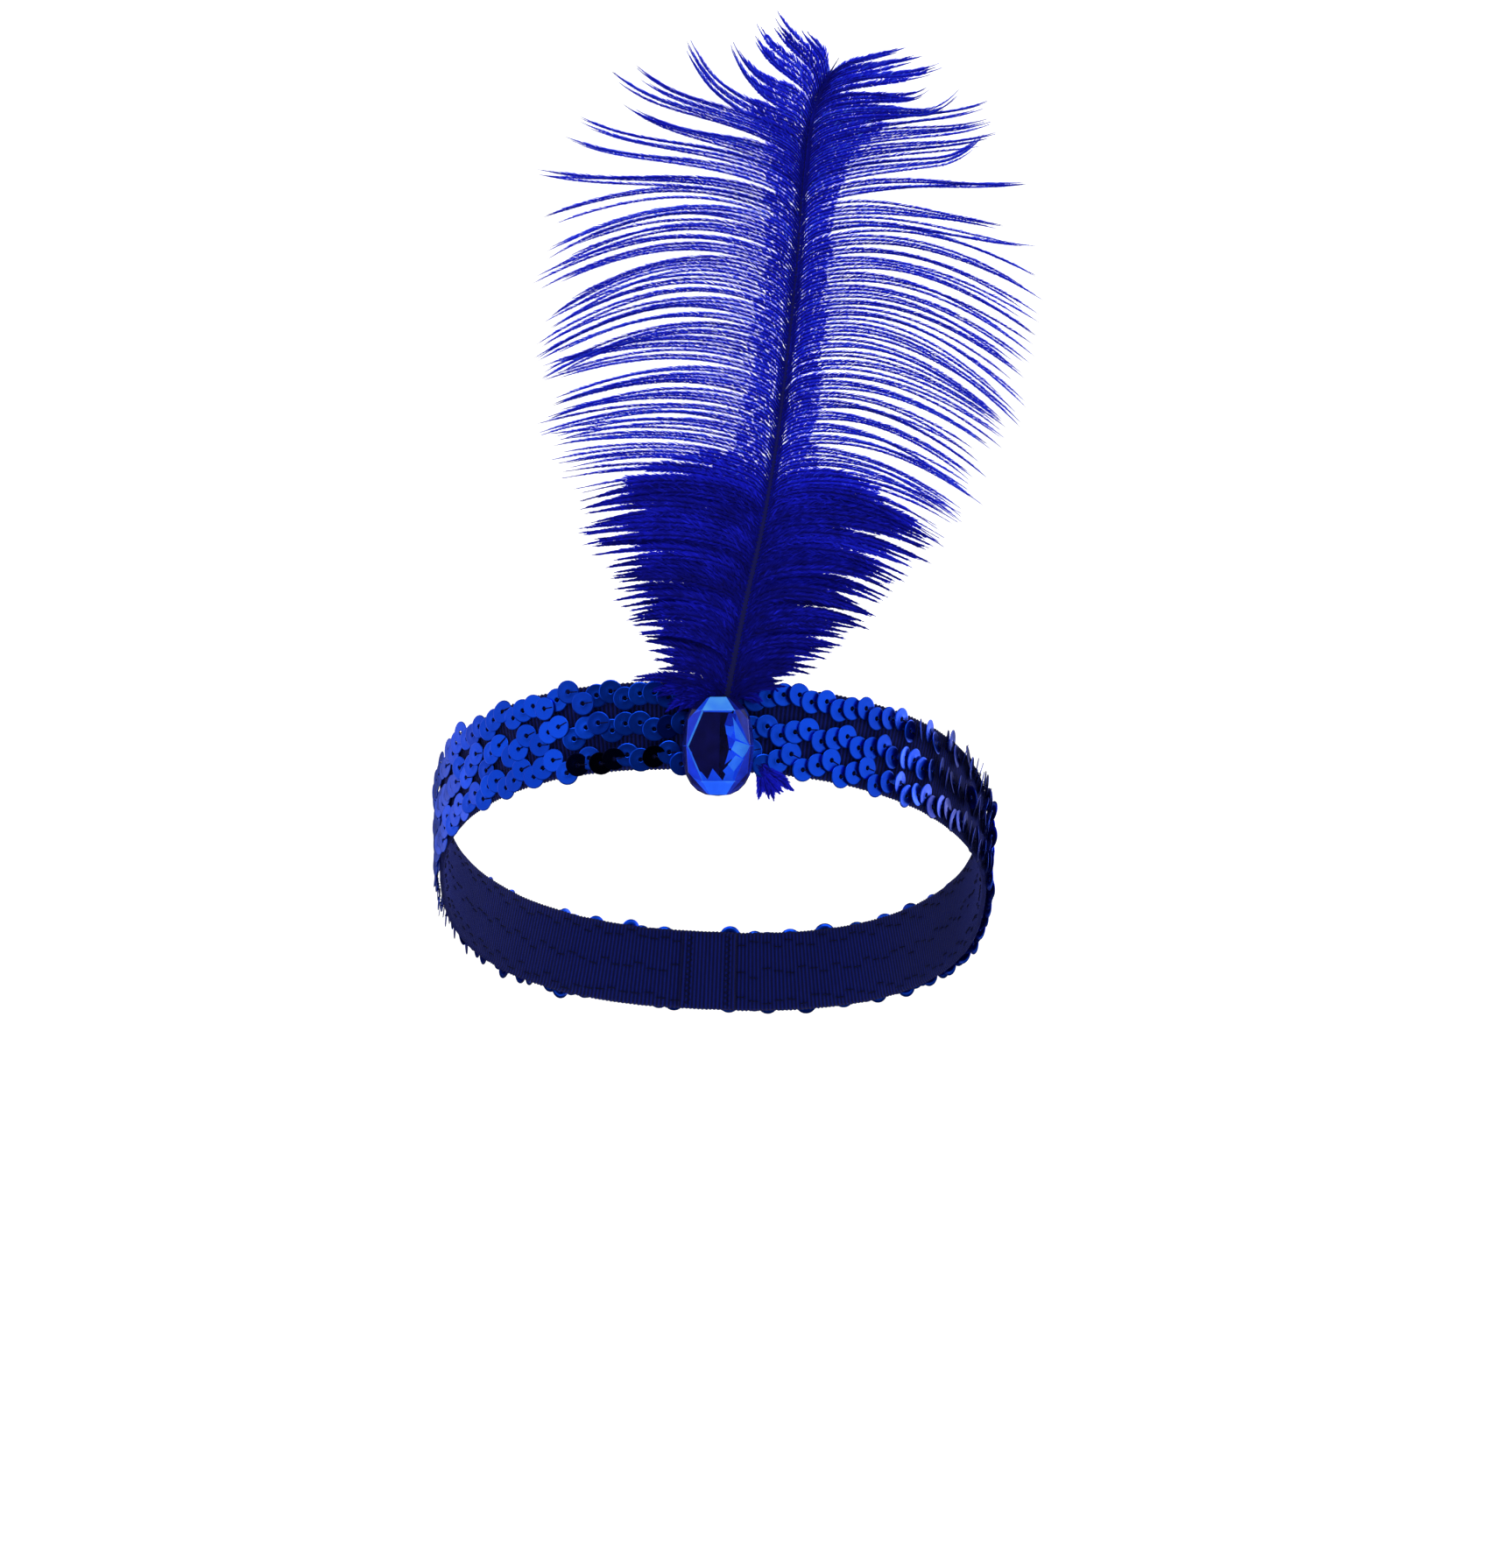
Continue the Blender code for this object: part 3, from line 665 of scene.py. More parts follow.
def elastic_material():
    """Navy knitted elastic: ribs across, fine yarn along them, and a painted highlight that lightens their
    crests.
    """
    look = Look(
        "navy_elastic",
        {"Roughness": 0.85, "Sheen Weight": 0.03, "Sheen Roughness": 0.5, "Specular IOR Level": 0.10},
    )
    weave = look.node("UVMap", {}, "UV", uv_map="weave")
    yarn = look.node(
        "TexWave",
        {"Vector": weave, "Scale": 20, "Distortion": 1.2, "Detail Scale": 3},
        "Fac",
        wave_type="BANDS",
        bands_direction="Y",
    )
    # Painted highlight: the colour is lighter on the ribs' crests
    crest = look.value("MULTIPLY", look.attribute("crest"), 0.7)
    look.colours(
        look.value("MULTIPLY_ADD", yarn, 0.30, crest, clamp=True),
        (0.0, (0.0008, 0.0010, 0.012)),
        (0.6, (0.0022, 0.0056, 0.095)),
        (1.0, (0.0050, 0.018, 0.28)),
    )
    look.relief(look.value("ADD", yarn, look.noise(30, 4, weave)), 0.6, 0.0001)
    return look.material


def thread_material():
    """Twisted polyester thread."""
    look = Look("navy_thread", {"Roughness": 0.7, "Specular IOR Level": 0.1})
    twist = look.node(
        "TexWave",
        {"Vector": look.place(), "Scale": 900},
        "Fac",
        wave_type="BANDS",
        bands_direction="DIAGONAL",
    )
    look.colours(twist, (0.0, (0.001, 0.001, 0.008)), (1.0, (0.004, 0.006, 0.05)))
    look.relief(twist, 0.5, 0.00005)
    return look.material


def stone_material():
    """Clear blue acrylic over the dark of the stone, with faint flow marks and handling scratches."""
    look = Look(
        "blue_acrylic",
        {"Base Color": (0.002, 0.003, 0.04, 1), "Alpha": 0.14, "Specular IOR Level": 0.5},
    )
    look.roughness(look.noise(700, 3, look.place()), 0.02, 0.10)
    return look.material


def facet_material(name, painted_glow):
    """Facets that stand for those that throw the light back through the blue stone, each with its own
    painted tone, and where a glow is given, glowing in that colour as painted light.
    """
    coat = {"Coat Weight": 0.04, "Coat Roughness": 0.03}
    look = Look(name, {"Emission Strength": painted_glow, "Specular IOR Level": 0.22, **coat})
    cloud = look.noise(260, 2, look.place())
    shift = look.value("MULTIPLY_ADD", cloud, 0.24, -0.12)
    colour = look.colours(
        look.value("ADD", shift, look.attribute("tone"), clamp=True),
        (0.0, (0.001, 0.001, 0.012)),
        (0.25, (0.005, 0.005, 0.09)),
        (0.5, (0.006, 0.040, 0.78)),
        (0.75, (0.014, 0.120, 1.0)),
        (1.0, (0.080, 0.400, 0.98)),
    )
    # The glow is painted light: the facets emit their own colour
    if painted_glow:
        look.fill(look.shader, {"Emission Color": colour})
    look.roughness(cloud, 0.08, 0.22)
    return look.material


def felt_material():
    """The dark pad between the stone and the band."""
    look = Look("pad_felt", {"Roughness": 0.9, "Sheen Weight": 0.4})
    fibres = look.noise(1800, 6, look.place())
    look.colours(fibres, (0.3, (0.003, 0.004, 0.03)), (0.8, (0.012, 0.014, 0.10)))
    look.relief(fibres, 0.8, 0.0002)
    return look.material


def quill_material():
    """Dyed horn: near black blue at the foot, a little lighter upwards, with lengthwise streaks."""
    look = Look("dyed_quill", {"Roughness": 0.5, "Specular IOR Level": 0.15})
    drawn_out = {0: look.place(), 1: (4000, 4000, 120)}
    streaks = look.noise(1, 3, look.node("VectorMath", drawn_out, "Vector", operation="MULTIPLY"))
    look.colours(
        look.value("MULTIPLY_ADD", streaks, 0.35, look.attribute("shade")),
        (0.1, (0.003, 0.004, 0.055)),
        (1.0, (0.004, 0.004, 0.14)),
    )
    look.relief(streaks, 0.3, 0.00005)
    return look.material


def plume_material():
    """Dyed down: each fibre's shade, its own tone with painted backlight, highlights and shade, in
    drifting patches, and some light through it.
    """
    look = Look("dyed_down", {"Roughness": 0.6, "Specular IOR Level": 0.06})
    patches = look.value("MULTIPLY_ADD", look.noise(160, 3, look.place()), 0.30, -0.15)
    # The pale top of the ramp, which the fibres' tips reach, is a painted backlight
    colour = look.colours(
        look.value("ADD", patches, look.attribute("shade"), clamp=True),
        (0.0, (0.003, 0.002, 0.07)),
        (0.3, (0.004, 0.005, 0.28)),
        (0.56, (0.012, 0.017, 0.79)),
        (0.8, (0.030, 0.060, 0.92)),
        (1.0, (0.140, 0.280, 0.97)),
    )
    through = look.node("BsdfTranslucent", {"Color": colour}, "BSDF")
    both = look.node("MixShader", {"Fac": 0.35, 1: look.shader.outputs["BSDF"], 2: through}, "Shader")
    look.fill(look.tree.nodes["Material Output"], {"Surface": both})
    return look.material


def paper_material():
    """Pale paper of the floor and the backdrop, which glows a little as if lit from behind."""
    white = (1, 1, 1, 1)
    paper = {"Base Color": (0.93, 0.93, 0.93, 1), "Roughness": 0.9}
    return Look("pale_paper", {**paper, "Emission Color": white, "Emission Strength": 0.45}).material


# Elastic
def ribbed_elastic(material):
    """The elastic as a closed ribbed ring, with its edges rolled and lightly scalloped by the ribs."""
    columns = round(2 * HALF_PATH / RIB_PITCH) * RIB_SAMPLES
    path = -HALF_PATH + (np.arange(columns) + 0.5) / columns * 2 * HALF_PATH
    crest = 0.5 + 0.5 * np.cos(np.arange(columns) * 2 * math.pi / RIB_SAMPLES)
    half = BAND_HEIGHT / 2
    rng = np.random.default_rng(3)
    wobble = np.convolve(rng.normal(0, 1, columns), np.ones(25) / 5, "same") * EDGE_WOBBLE
    points, crests, weave = [], [], []

    def add_row(across, out, light, weave_row):
        points.append(on_band(path, across, out))
        crests.append(light)
        weave.append(np.stack([path / RIB_PITCH, np.full(columns, weave_row)], -1))

    # Up the outer face and over the upper edge, then down the inner face and round the lower edge
    for side, edge_row in ((1, 10.6), (-1, 32.0)):
        for share, full in FACE_ROWS[::side]:
            out = (side - 1) / 2 * BAND_WALL - side * RIB_DEPTH * (1 - crest) * (0.4 + 0.6 * full)
            out = out - side * (0 if full else EDGE_ROLL)
            across = share * half + np.sign(share) * (1 - full) * (crest - 0.5) * FACE_SCALLOP + wobble
            weave_row = across.mean() / RIB_PITCH
            add_row(across, out, crest, weave_row if side > 0 else 21 - weave_row)
        across = side * (half + (crest - 0.5) * EDGE_SCALLOP) + wobble
        add_row(across, -BAND_WALL / 2, crest * 0.8, edge_row)
    index = np.arange(len(points) * columns).reshape(-1, columns)
    quads = ring_quads(index, np.roll(index, -1, 0))
    # crest lightens the colour: a painted highlight on the ribs' crests, a little weaker on the edges
    layers = {"crest": np.concatenate(crests)}
    mesh = mesh_of("ribbed_elastic", np.concatenate(points), [quads], layers)
    add_uv(mesh, "weave", np.concatenate(weave))
    return piece("ribbed_elastic", mesh, material, ("elastic_band",))


def back_join(material):
    """The elastic's lapped end behind the head: a second layer inside, which thins out at its ends."""
    columns, rows = JOIN_GRID
    share = np.linspace(-1, 1, columns)
    path = HALF_PATH + share * JOIN_LENGTH / 2
    across = np.linspace(-0.96, 0.96, rows) * BAND_HEIGHT / 2
    crest = 0.5 + 0.5 * np.cos(2 * math.pi * path / RIB_PITCH)
    end = np.clip((1 - np.abs(share)) * 12, 0, 1)
    inner = -BAND_WALL - JOIN_GAP - JOIN_WALL * end + RIB_DEPTH * (1 - crest)
    outer = np.full(columns, -BAND_WALL + 0.0003)
    points = [on_band(path, height, inner) for height in across]
    points += [on_band(path, height, outer) for height in across[::-1]]
    count = len(points)
    index = np.arange(count * columns).reshape(count, columns)
    here, there = index[:, :-1], np.roll(index, -1, 0)[:, :-1]
    quads = np.stack([here, there, there + 1, here + 1], -1).reshape(-1, 4)
    ends = []
    for column in (0, columns - 1):
        for row in range(rows - 1):
            loop = [index[k, column] for k in (row, row + 1, -row - 2, -row - 1)]
            ends.append(loop if column else loop[::-1])
    weave = [np.stack([path / RIB_PITCH, np.full(columns, 40 + row * 1.7)], -1) for row in range(count)]
    # crest lightens the colour here too: a painted highlight on the ribs' crests
    layers = {"crest": np.tile(crest, count)}
    mesh = mesh_of("elastic_join", np.concatenate(points), [quads, np.array(ends)], layers)
    add_uv(mesh, "weave", np.concatenate(weave))
    return piece("elastic_join", mesh, material)


# Sequins
def path_at(x):
    """Length along the path at a sideways place on the front of the band."""
    front = LINE["y"] < 0
    order = np.argsort(LINE["x"][front])
    return float(np.interp(x, LINE["x"][front][order], LINE["path"][front][order]))


def sequin_places(row, lane):
    """Where each sequin of a row is, and how it sits and looks. turn raises its left edge, and nod tips it
    forwards over its lower edge."""
    rng = np.random.default_rng(ROW_SEEDS[row])
    order = np.arange(SEQUINS_A_ROW)

    def scatter(key):
        return rng.normal(0, SEQUIN_SCATTER[key], SEQUINS_A_ROW)

    zigzag = np.array([ZIGZAG[(i + ZIGZAG_START[row]) % len(ZIGZAG)] for i in order])
    path = (order - SEQUINS_A_ROW // 2 + 0.5) * SEQUIN_PITCH + scatter("path")
    ruffled = 0.6 + 0.8 * step_between(-path, 0.0, 0.03) + 0.9 * step_between(path, 0.048, 0.056)
    right, left, far, painted_shade = (
        step_between(side * path, *sets_in) * (1 - step_between(side * path, *fades_out))
        for side, sets_in, fades_out in STRETCHES.values()
    )
    zigzag = zigzag * (1 + right * RIGHT_ZIGZAG[row] + 0.6 * left)
    across = lane + zigzag + right * RIGHT_WANDER[row] + scatter("across") * ruffled
    across = across + scatter("across_left") * left
    turn = SEQUIN_TILT + 0.09 * step_between(path, 0.002, 0.018) + scatter("turn") * ruffled
    turn = turn + 0.06 * far + scatter("turn_far") * far
    nod = scatter("nod") * (ruffled + 1.5 * far)
    roll = rng.uniform(-math.pi, math.pi, SEQUINS_A_ROW)
    stand = SEQUIN_STAND_OFF + scatter("stand")
    stand = stand + np.maximum(0, SEQUIN_RADIUS * np.sin(turn) - 0.0009) * 0.9
    # Painted shade: the foil's tone drops over the stretch on the far right
    tone = np.clip(SEQUIN_TONE + scatter("tone") * ruffled - PAINTED_SHADE_BY * painted_shade, 0, 1)
    for odd in ODD_SEQUINS:
        if odd["row"] != row:
            continue
        nearest = int(np.argmin(np.abs(path - path_at(odd["x"]))))
        turn[nearest] += odd["turn"]
        nod[nearest] += odd["nod"]
        # Painted shade and reflection: the odd sequin takes its listed tone
        tone[nearest] = odd["tone"]
        across[nearest] += odd["lift"]
        stand[nearest] += 0.0004 * abs(odd["nod"]) / 0.3 + odd["over"]
    return dict(path=path, across=across, turn=turn, nod=nod, roll=roll, stand=stand, tone=tone)


def sequin_axes(places):
    """Centre of each sequin, and the directions of its own plane and face."""
    point, along, up, out = band_frame(places["path"], places["across"])
    turn, nod = places["turn"][:, None], places["nod"][:, None]
    across_axis = along * np.cos(turn) - out * np.sin(turn)
    face = out * np.cos(turn) + along * np.sin(turn)
    up_axis = up * np.cos(nod) + face * np.sin(nod)
    face = face * np.cos(nod) - up * np.sin(nod)
    return point + out * places["stand"][:, None], across_axis, up_axis, face


def sequin_row(row, places, material):
    """A row of single sequins round the whole band."""
    centre, across_axis, up_axis, face = (value[:, None, None] for value in sequin_axes(places))
    section = np.array(SEQUIN_SECTION) / 1000
    profile = np.concatenate([section, section[[*SEQUIN_UNDERSIDE]] - (0, SEQUIN_WALL)])
    angle = places["roll"][:, None] + np.arange(SEQUIN_SIDES) * 2 * math.pi / SEQUIN_SIDES
    cos, sin = np.cos(angle)[:, None, :, None], np.sin(angle)[:, None, :, None]
    radius, height = profile[None, :, None, :1], profile[None, :, None, 1:]
    points = centre + across_axis * cos * radius + up_axis * sin * radius + face * height
    count, rings, sides = points.shape[:3]
    index = np.arange(count * rings * sides).reshape(count, rings, sides)
    there = np.roll(index, -1, 1)
    quads = np.stack([index, there, np.roll(there, -1, 2), np.roll(index, -1, 2)], -1).reshape(-1, 4)
    share = radius / (2 * SEQUIN_RADIUS)
    disc = np.concatenate([0.5 + share * cos, 0.5 + share * sin], -1)
    tone = np.repeat(places["tone"], rings * sides)
    mesh = mesh_of("sequins_" + row, points.reshape(-1, 3), [quads], {"tone": tone})
    add_uv(mesh, "disc", disc.reshape(-1, 2))
    return piece("sequins_" + row, mesh, material, ("sequin_row_" + row,))


def stitch_lines(places):
    """Threads of one row: from each hole over the sequin's right half, and a stitch inside the elastic."""
    centre, across_axis, up_axis, face = sequin_axes(places)
    slant = np.random.default_rng(5).normal(0, 0.25, len(centre))[:, None]
    front = [
        centre + across_axis * along / 1000 + up_axis * slant * max(along, 0) / 1000 + face * lift / 1000
        for along, lift in FACE_THREAD
    ]
    back = [
        on_band(places["path"] + along / 1000, places["across"] + along * slant[:, 0] / 4000, out / 1000)
        for along, out in INNER_STITCH
    ]
    return np.stack(front, 1), np.stack(back, 1)


def thread_piece(name, lines, radius, material):
    """Threads along lines, in one mesh."""
    points, quads, caps = tubes(lines, np.full(lines.shape[:2], radius), THREAD_SIDES)
    return piece(name, mesh_of(name, points, [quads, caps]), material)


def join_stitches(material):
    """Two zigzag seams that hold the elastic's lapped ends together, seen inside."""
    across = np.linspace(-0.9, 0.9, SEAM_STEPS) * BAND_HEIGHT / 2
    swing = np.where(np.arange(SEAM_STEPS) % 2, SEAM_SWING, -SEAM_SWING)
    share = np.linspace(0, 1, 5)[:, None]
    arch = (SEAM_ARCH * (2 * share - 1) ** 4) * np.array([0, 1, 0])
    lines = []
    for offset in (-SEAM_OFFSET, SEAM_OFFSET):
        ends = on_band(HALF_PATH + offset + swing, across, -BAND_WALL - JOIN_WALL - JOIN_GAP)
        lines += [start + (end - start) * share + arch for start, end in zip(ends, ends[1:])]
    return thread_piece("join_stitches", np.array(lines), SEAM_THREAD_RADIUS, material)


# Stone
def facet_tone(face):
    """Painted tone of an outer facet, standing in for its reflections and shade: dark in the steep ring,
    bright at both ends, and lighter at the left side than at the right."""
    centre = face.calc_center_median()
    across, up = centre.x / (GEM_WIDTH / 2), centre.z / (GEM_HEIGHT / 2)
    outside = any(abs(centre.x) * a + abs(centre.z) * b > 1 for a, b in STONE_RING)
    steep = -face.normal.y < CROWN_FACING
    at_end = abs(up) > 0.70 and abs(across) < 0.3
    if steep or outside:
        return 0.24 + 0.05 * across - 0.04 * up
    if at_end:
        return 0.93 if up > 0 else 0.80
    if across > 0:
        return 0.36 + 0.10 * (abs(up) < 0.25)
    return 0.60 if abs(up) > 0.62 else 0.46


def stone_mesh(name, bm):
    """The finished mesh of the stone or its inside, moved to the stone's place."""
    mesh = bpy.data.meshes.new(name)
    bm.to_mesh(mesh)
    bm.free()
    mesh.transform(Matrix.Translation((0, -GEM_BACK, FRONT_Z - GEM_DROP)))
    return mesh


def cut_stone(clear, facets):
    """The stone of the CAD with its edges softly polished over: a clear table, and outer facets with
    painted tones for their reflections and shade, and a painted highlight on the polished edges."""
    bm = bmesh.new()
    half_x, half_z = GEM_WIDTH / 2, GEM_HEIGHT / 2
    for point in GEM_CUT:
        x, z = point["across"] * half_x, point["up"] * half_z
        for side in (-1, 1):
            for up in (-1, 1) if z else (1,):
                bm.verts.new((side * x, -point["out"] * GEM_DEPTH, up * z))
    for share_out in (0.0, GIRDLE_SHARE):
        for k in range(GEM_SIDES):
            angle = 2 * math.pi * k / GEM_SIDES
            x, z = (
                half * math.copysign(abs(turn) ** (2 / GEM_POWER), turn)
                for half, turn in ((half_x, math.cos(angle)), (half_z, math.sin(angle)))
            )
            bm.verts.new((x, -share_out * GEM_DEPTH, z))
    bmesh.ops.convex_hull(bm, input=bm.verts)
    bmesh.ops.dissolve_limit(bm, angle_limit=math.radians(0.5), verts=bm.verts, edges=bm.edges)
    bmesh.ops.recalc_face_normals(bm, faces=bm.faces)
    for side in (-1, 1):
        for up in (-1, 1):
            for a, b in STONE_RING:
                normal = Vector((side * a, 0, up * b))
                bmesh.ops.bisect_plane(
                    bm,
                    geom=[*bm.verts, *bm.edges, *[f for f in bm.faces if abs(f.normal.y) < 0.97]],
                    plane_co=normal / normal.length_squared,
                    plane_no=normal.normalized(),
                    dist=0.000001,
                )
    sharp = [edge for edge in bm.edges if edge.calc_face_angle(0) > SHARP_EDGE]
    bmesh.ops.bevel(bm, geom=sharp, offset=GEM_POLISH, segments=1, profile=0.5, affect="EDGES")
    bmesh.ops.recalc_face_normals(bm, faces=bm.faces)
    tone = bm.faces.layers.float.new("tone")
    rng = np.random.default_rng(8)
    # Painted reflections and shade: each outer facet gets a tone, and each small polished edge a painted
    # highlight
    for face in bm.faces:
        table_face = face.normal.y < -TABLE_FACING
        polished_edge = face.calc_area() < POLISHED_AREA and face.normal.y < -POLISHED_FACING
        face.material_index = 0 if table_face else 1
        # Polished edges take a bright tone: a painted highlight
        face[tone] = POLISHED_HIGHLIGHT_TONE if polished_edge else facet_tone(face) + rng.normal(0, 0.03)
    mesh = stone_mesh("cut_stone", bm)
    piece("cut_stone", mesh, clear, ("gem",))
    mesh.materials.append(facets)


def stone_inside(material):
    """Facets of the stone's back, each a thin raised prism under the table, with a painted tone for a
    reflection.
    """
    bm = bmesh.new()
    tone = bm.faces.layers.float.new("tone")
    for facet in BACK_FACETS:
        corners = [(x / 1000 * BACK_INSET, z / 1000 * BACK_INSET) for x, z in facet["corners"]]
        depths = (-BACK_PLANE, -facet["out"] * GEM_DEPTH)
        back, front = ([bm.verts.new((x, y, z)) for x, z in corners] for y in depths)
        made = [bm.faces.new(back), bm.faces.new(front[::-1])]
        for a, b, c, d in zip(back, front, front[1:] + front[:1], back[1:] + back[:1]):
            made.append(bm.faces.new((a, b, c, d)))
        for face in made:
            face[tone] = facet["tone"]
    bmesh.ops.recalc_face_normals(bm, faces=bm.faces)
    piece("stone_inside", stone_mesh("stone_inside", bm), material)


# Plume
def from_table(source, root, key):
    """Lengths from a table in millimetres, for barbs rooted at some height."""
    return np.interp(root, np.array(source["root"]) / 1000, np.array(source[key]) / 1000)


def downiness(root):
    """From 0 for the barbs of the vane to 1 for the down below it, by the height of their root."""
    return np.clip((DOWNY_BELOW - root) / DOWNY_BLEND + 0.5, 0, 1)


def quill_point(height):
    """Sideways place of the quill at heights above the band's front centre, and its slope there."""
    line = [[place[key] for place in QUILL_LINE] for key in ("height", "side")]
    near = [np.asarray(height) + k * QUILL_SMOOTHING for k in range(-2, 3)]
    sides = np.array([np.interp(place, *line) for place in near])
    return sides.mean(0), (sides[-1] - sides[0]) / (4 * QUILL_SMOOTHING)


def quill_radius(height):
    """Radius of the quill, which narrows evenly over the vane's height."""
    share = ramp(height, VANE_BOTTOM, VANE_TOP - VANE_BOTTOM)
    return QUILL_BASE_RADIUS + (QUILL_TIP_RADIUS - QUILL_BASE_RADIUS) * share


def curl(height):
    """How far the plume leans forward at a height."""
    return PLUME_CURL * np.maximum(0, height / VANE_TOP) ** 2


def quill_shaft(material):
    """The quill with a flattened section and a shallow groove down its front."""
    height = np.linspace(QUILL_LINE[0]["height"], VANE_TOP + QUILL_PAST_VANE, QUILL_STEPS)
    side, slope = quill_point(height)
    radius = quill_radius(height) * np.clip((height[-1] - height) / QUILL_POINT_LENGTH, 0.25, 1)
    turn = np.arange(QUILL_SIDES) * 2 * math.pi / QUILL_SIDES
    from_front = (turn - 1.5 * math.pi + math.pi) % (2 * math.pi) - math.pi
    groove = 1 - GROOVE_DEPTH * np.exp(-((from_front / GROOVE_WIDTH) ** 2))
    across, depth = np.cos(turn) * groove, np.sin(turn) * groove * 0.92
    points = np.zeros((QUILL_STEPS, QUILL_SIDES, 3))
    points[..., 0] = side[:, None] + radius[:, None] * across
    points[..., 1] = -QUILL_DEPTH - curl(height)[:, None] + radius[:, None] * depth
    points[..., 2] = FRONT_Z + height[:, None] - radius[:, None] * across * slope[:, None]
    index = np.arange(QUILL_STEPS * QUILL_SIDES).reshape(QUILL_STEPS, QUILL_SIDES)
    faces = [ring_quads(index[:-1], index[1:]), np.array([index[0, ::-1], index[-1]])]
    shade = np.repeat(np.clip(height / VANE_TOP, 0, 1), QUILL_SIDES)
    mesh = mesh_of("quill_shaft", points.reshape(-1, 3), faces, {"shade": shade})
    piece("quill_shaft", mesh, material, ("quill",))


def tufts_of(count, rng):
    """Parts barbs in order into tufts of neighbours: the number of each barb's tuft."""
    tuft = np.zeros(count, int)
    first, number = 0, 0
    while first < count:
        size = int(rng.choice(list(TUFT_SIZES), p=list(TUFT_SIZES.values())))
        tuft[first : first + size] = number
        first, number = first + size, number + 1
    return tuft


def gather_in_locks(word, roots, place, t, across, up, forward, rng):
    """Gathers the crown's barbs into the locks of the table, by changing across, up and forward."""
    steep = np.interp(roots * 1000, CROWN_RISE[word + "_root"], CROWN_RISE[word])[:, None]
    for lock in CROWN:
        inside = (roots * 1000 >= lock["from"]) & (roots * 1000 < lock["to"])
        if lock["side"] != word or not inside.any():
            continue
        centre = roots[inside].mean()
        hook_up = lock["hook"] / 1000
        far = SIGN[word] * (lock["x"] / 1000 - place[inside].mean())
        high = lock["z"] / 1000 - centre - hook_up
        s = t[inside]
        curled = ramp(s, *LOCK_CURLS) ** 2
        join = smooth(ramp(s, *LOCK_GATHERS)) * (1 - 0.62 * lock["spread"])
        join = join * rng.uniform(0.75, 1.15, inside.sum())[:, None]
        aside = rng.normal(0, LOCK_SCATTER * lock["spread"], inside.sum())[:, None]
        across[inside] = far * s ** (1 - 0.15 * lock["bend"]) - 0.25 * lock["hook"] / 1000 * curled
        up[inside] = (
            steep[inside] * far * s * (1 - s) ** 2
            + high * s ** (1.5 + 1.3 * lock["bend"])
            + hook_up * curled
            + (centre - roots[inside])[:, None] * join
            + aside * s**2
        )
        lean = rng.normal(0, LEAN_SCATTER["lock"], inside.sum())
        forward[inside] = forward[inside].mean() + lean


def barb_lines(word, rng):
    """The centre lines of one side's barbs, barbs x steps x 3, and their roots' heights on the quill.
    Neighbours gather into tufts towards their tips, and in the crown into locks."""
    roots = np.arange(VANE_BOTTOM, CROWN_FROM, BARB_PITCH)
    roots = np.concatenate([roots, np.arange(CROWN_FROM, VANE_TOP, CROWN_PITCH)])
    count = len(roots)
    roots = roots + rng.normal(0, ROOT_SCATTER, count)
    reach, rise, tip = (from_table(BARBS, roots, word + key) for key in ("_reach", "_rise", "_tip"))
    downy = downiness(roots)
    hook = BARB_HOOK * (1 - CALM["hook"] * downy)
    place, slope = quill_point(roots)

    # Tufts of neighbouring barbs
    tuft = tufts_of(count, rng)
    number = tuft[-1] + 1
    middle = np.array([roots[tuft == k].mean() for k in range(number)])[tuft]
    pull = rng.uniform(*TUFT_PULL, number)[tuft] * (1 - CALM["pull"] * downy)
    strays = rng.random(count) < STRAY_SHARE
    stray = np.where(strays, rng.normal(0, STRAY_DROOP, count), 0) * (1 - CALM["stray"] * downy)
    reach = reach * (1 + rng.normal(0, REACH_SCATTER["tuft"], number)[tuft])
    end = 1 - np.abs(rng.normal(0, REACH_SCATTER["barb"], count))
    droop = rng.normal(0, DROOP_SCATTER["tuft"], number)[tuft] * (1 - CALM["droop"] * downy)
    droop = droop + rng.normal(0, DROOP_SCATTER["barb"], count) + stray
    forward = rng.normal(0, LEAN_SCATTER["tuft"], number)[tuft]
    forward = forward + rng.normal(0, LEAN_SCATTER["barb"], count)
    wave, wave_at = rng.normal(0, WAVE, count), rng.uniform(0, FULL_TURN, count)
    t = end[:, None] * (np.linspace(0, 1, BARB_STEPS) ** 1.15)[None, :]
    across = reach[:, None] * t
    up = rise[:, None] * (1 - (1 - t) ** 3) + (tip - rise)[:, None] * t**2
    gather = smooth(ramp(t, *TUFT_GATHERS))
    part = ramp(t, *TUFT_PARTS) ** 2
    up = up + (middle - roots)[:, None] * pull[:, None] * (gather - 0.45 * part)
    up = up + droop[:, None] * t**2
    gather_in_locks(word, roots, place, t, across, up, forward, rng)

    # The lines, from the waves, the hooks at the roots and the curl of the whole plume
    up = up + wave[:, None] * np.sin(4 * t + wave_at[:, None]) * t
    hooked = hook[:, None] * np.exp(-across / HOOK_REACH)
    near = quill_radius(roots - hook)[:, None]
    lines = np.zeros((count, BARB_STEPS, 3))
    lines[..., 0] = place[:, None] + SIGN[word] * (0.6 * near + across) - slope[:, None] * hooked
    lines[..., 1] = -QUILL_DEPTH - curl(roots)[:, None] - BARB_ARCH * t**2 + forward[:, None] * t
    lines[..., 1] -= 0.75 * near * np.exp(-across / 0.0012)
    lines[..., 2] = FRONT_Z + roots[:, None] + up - hooked
    return lines, roots


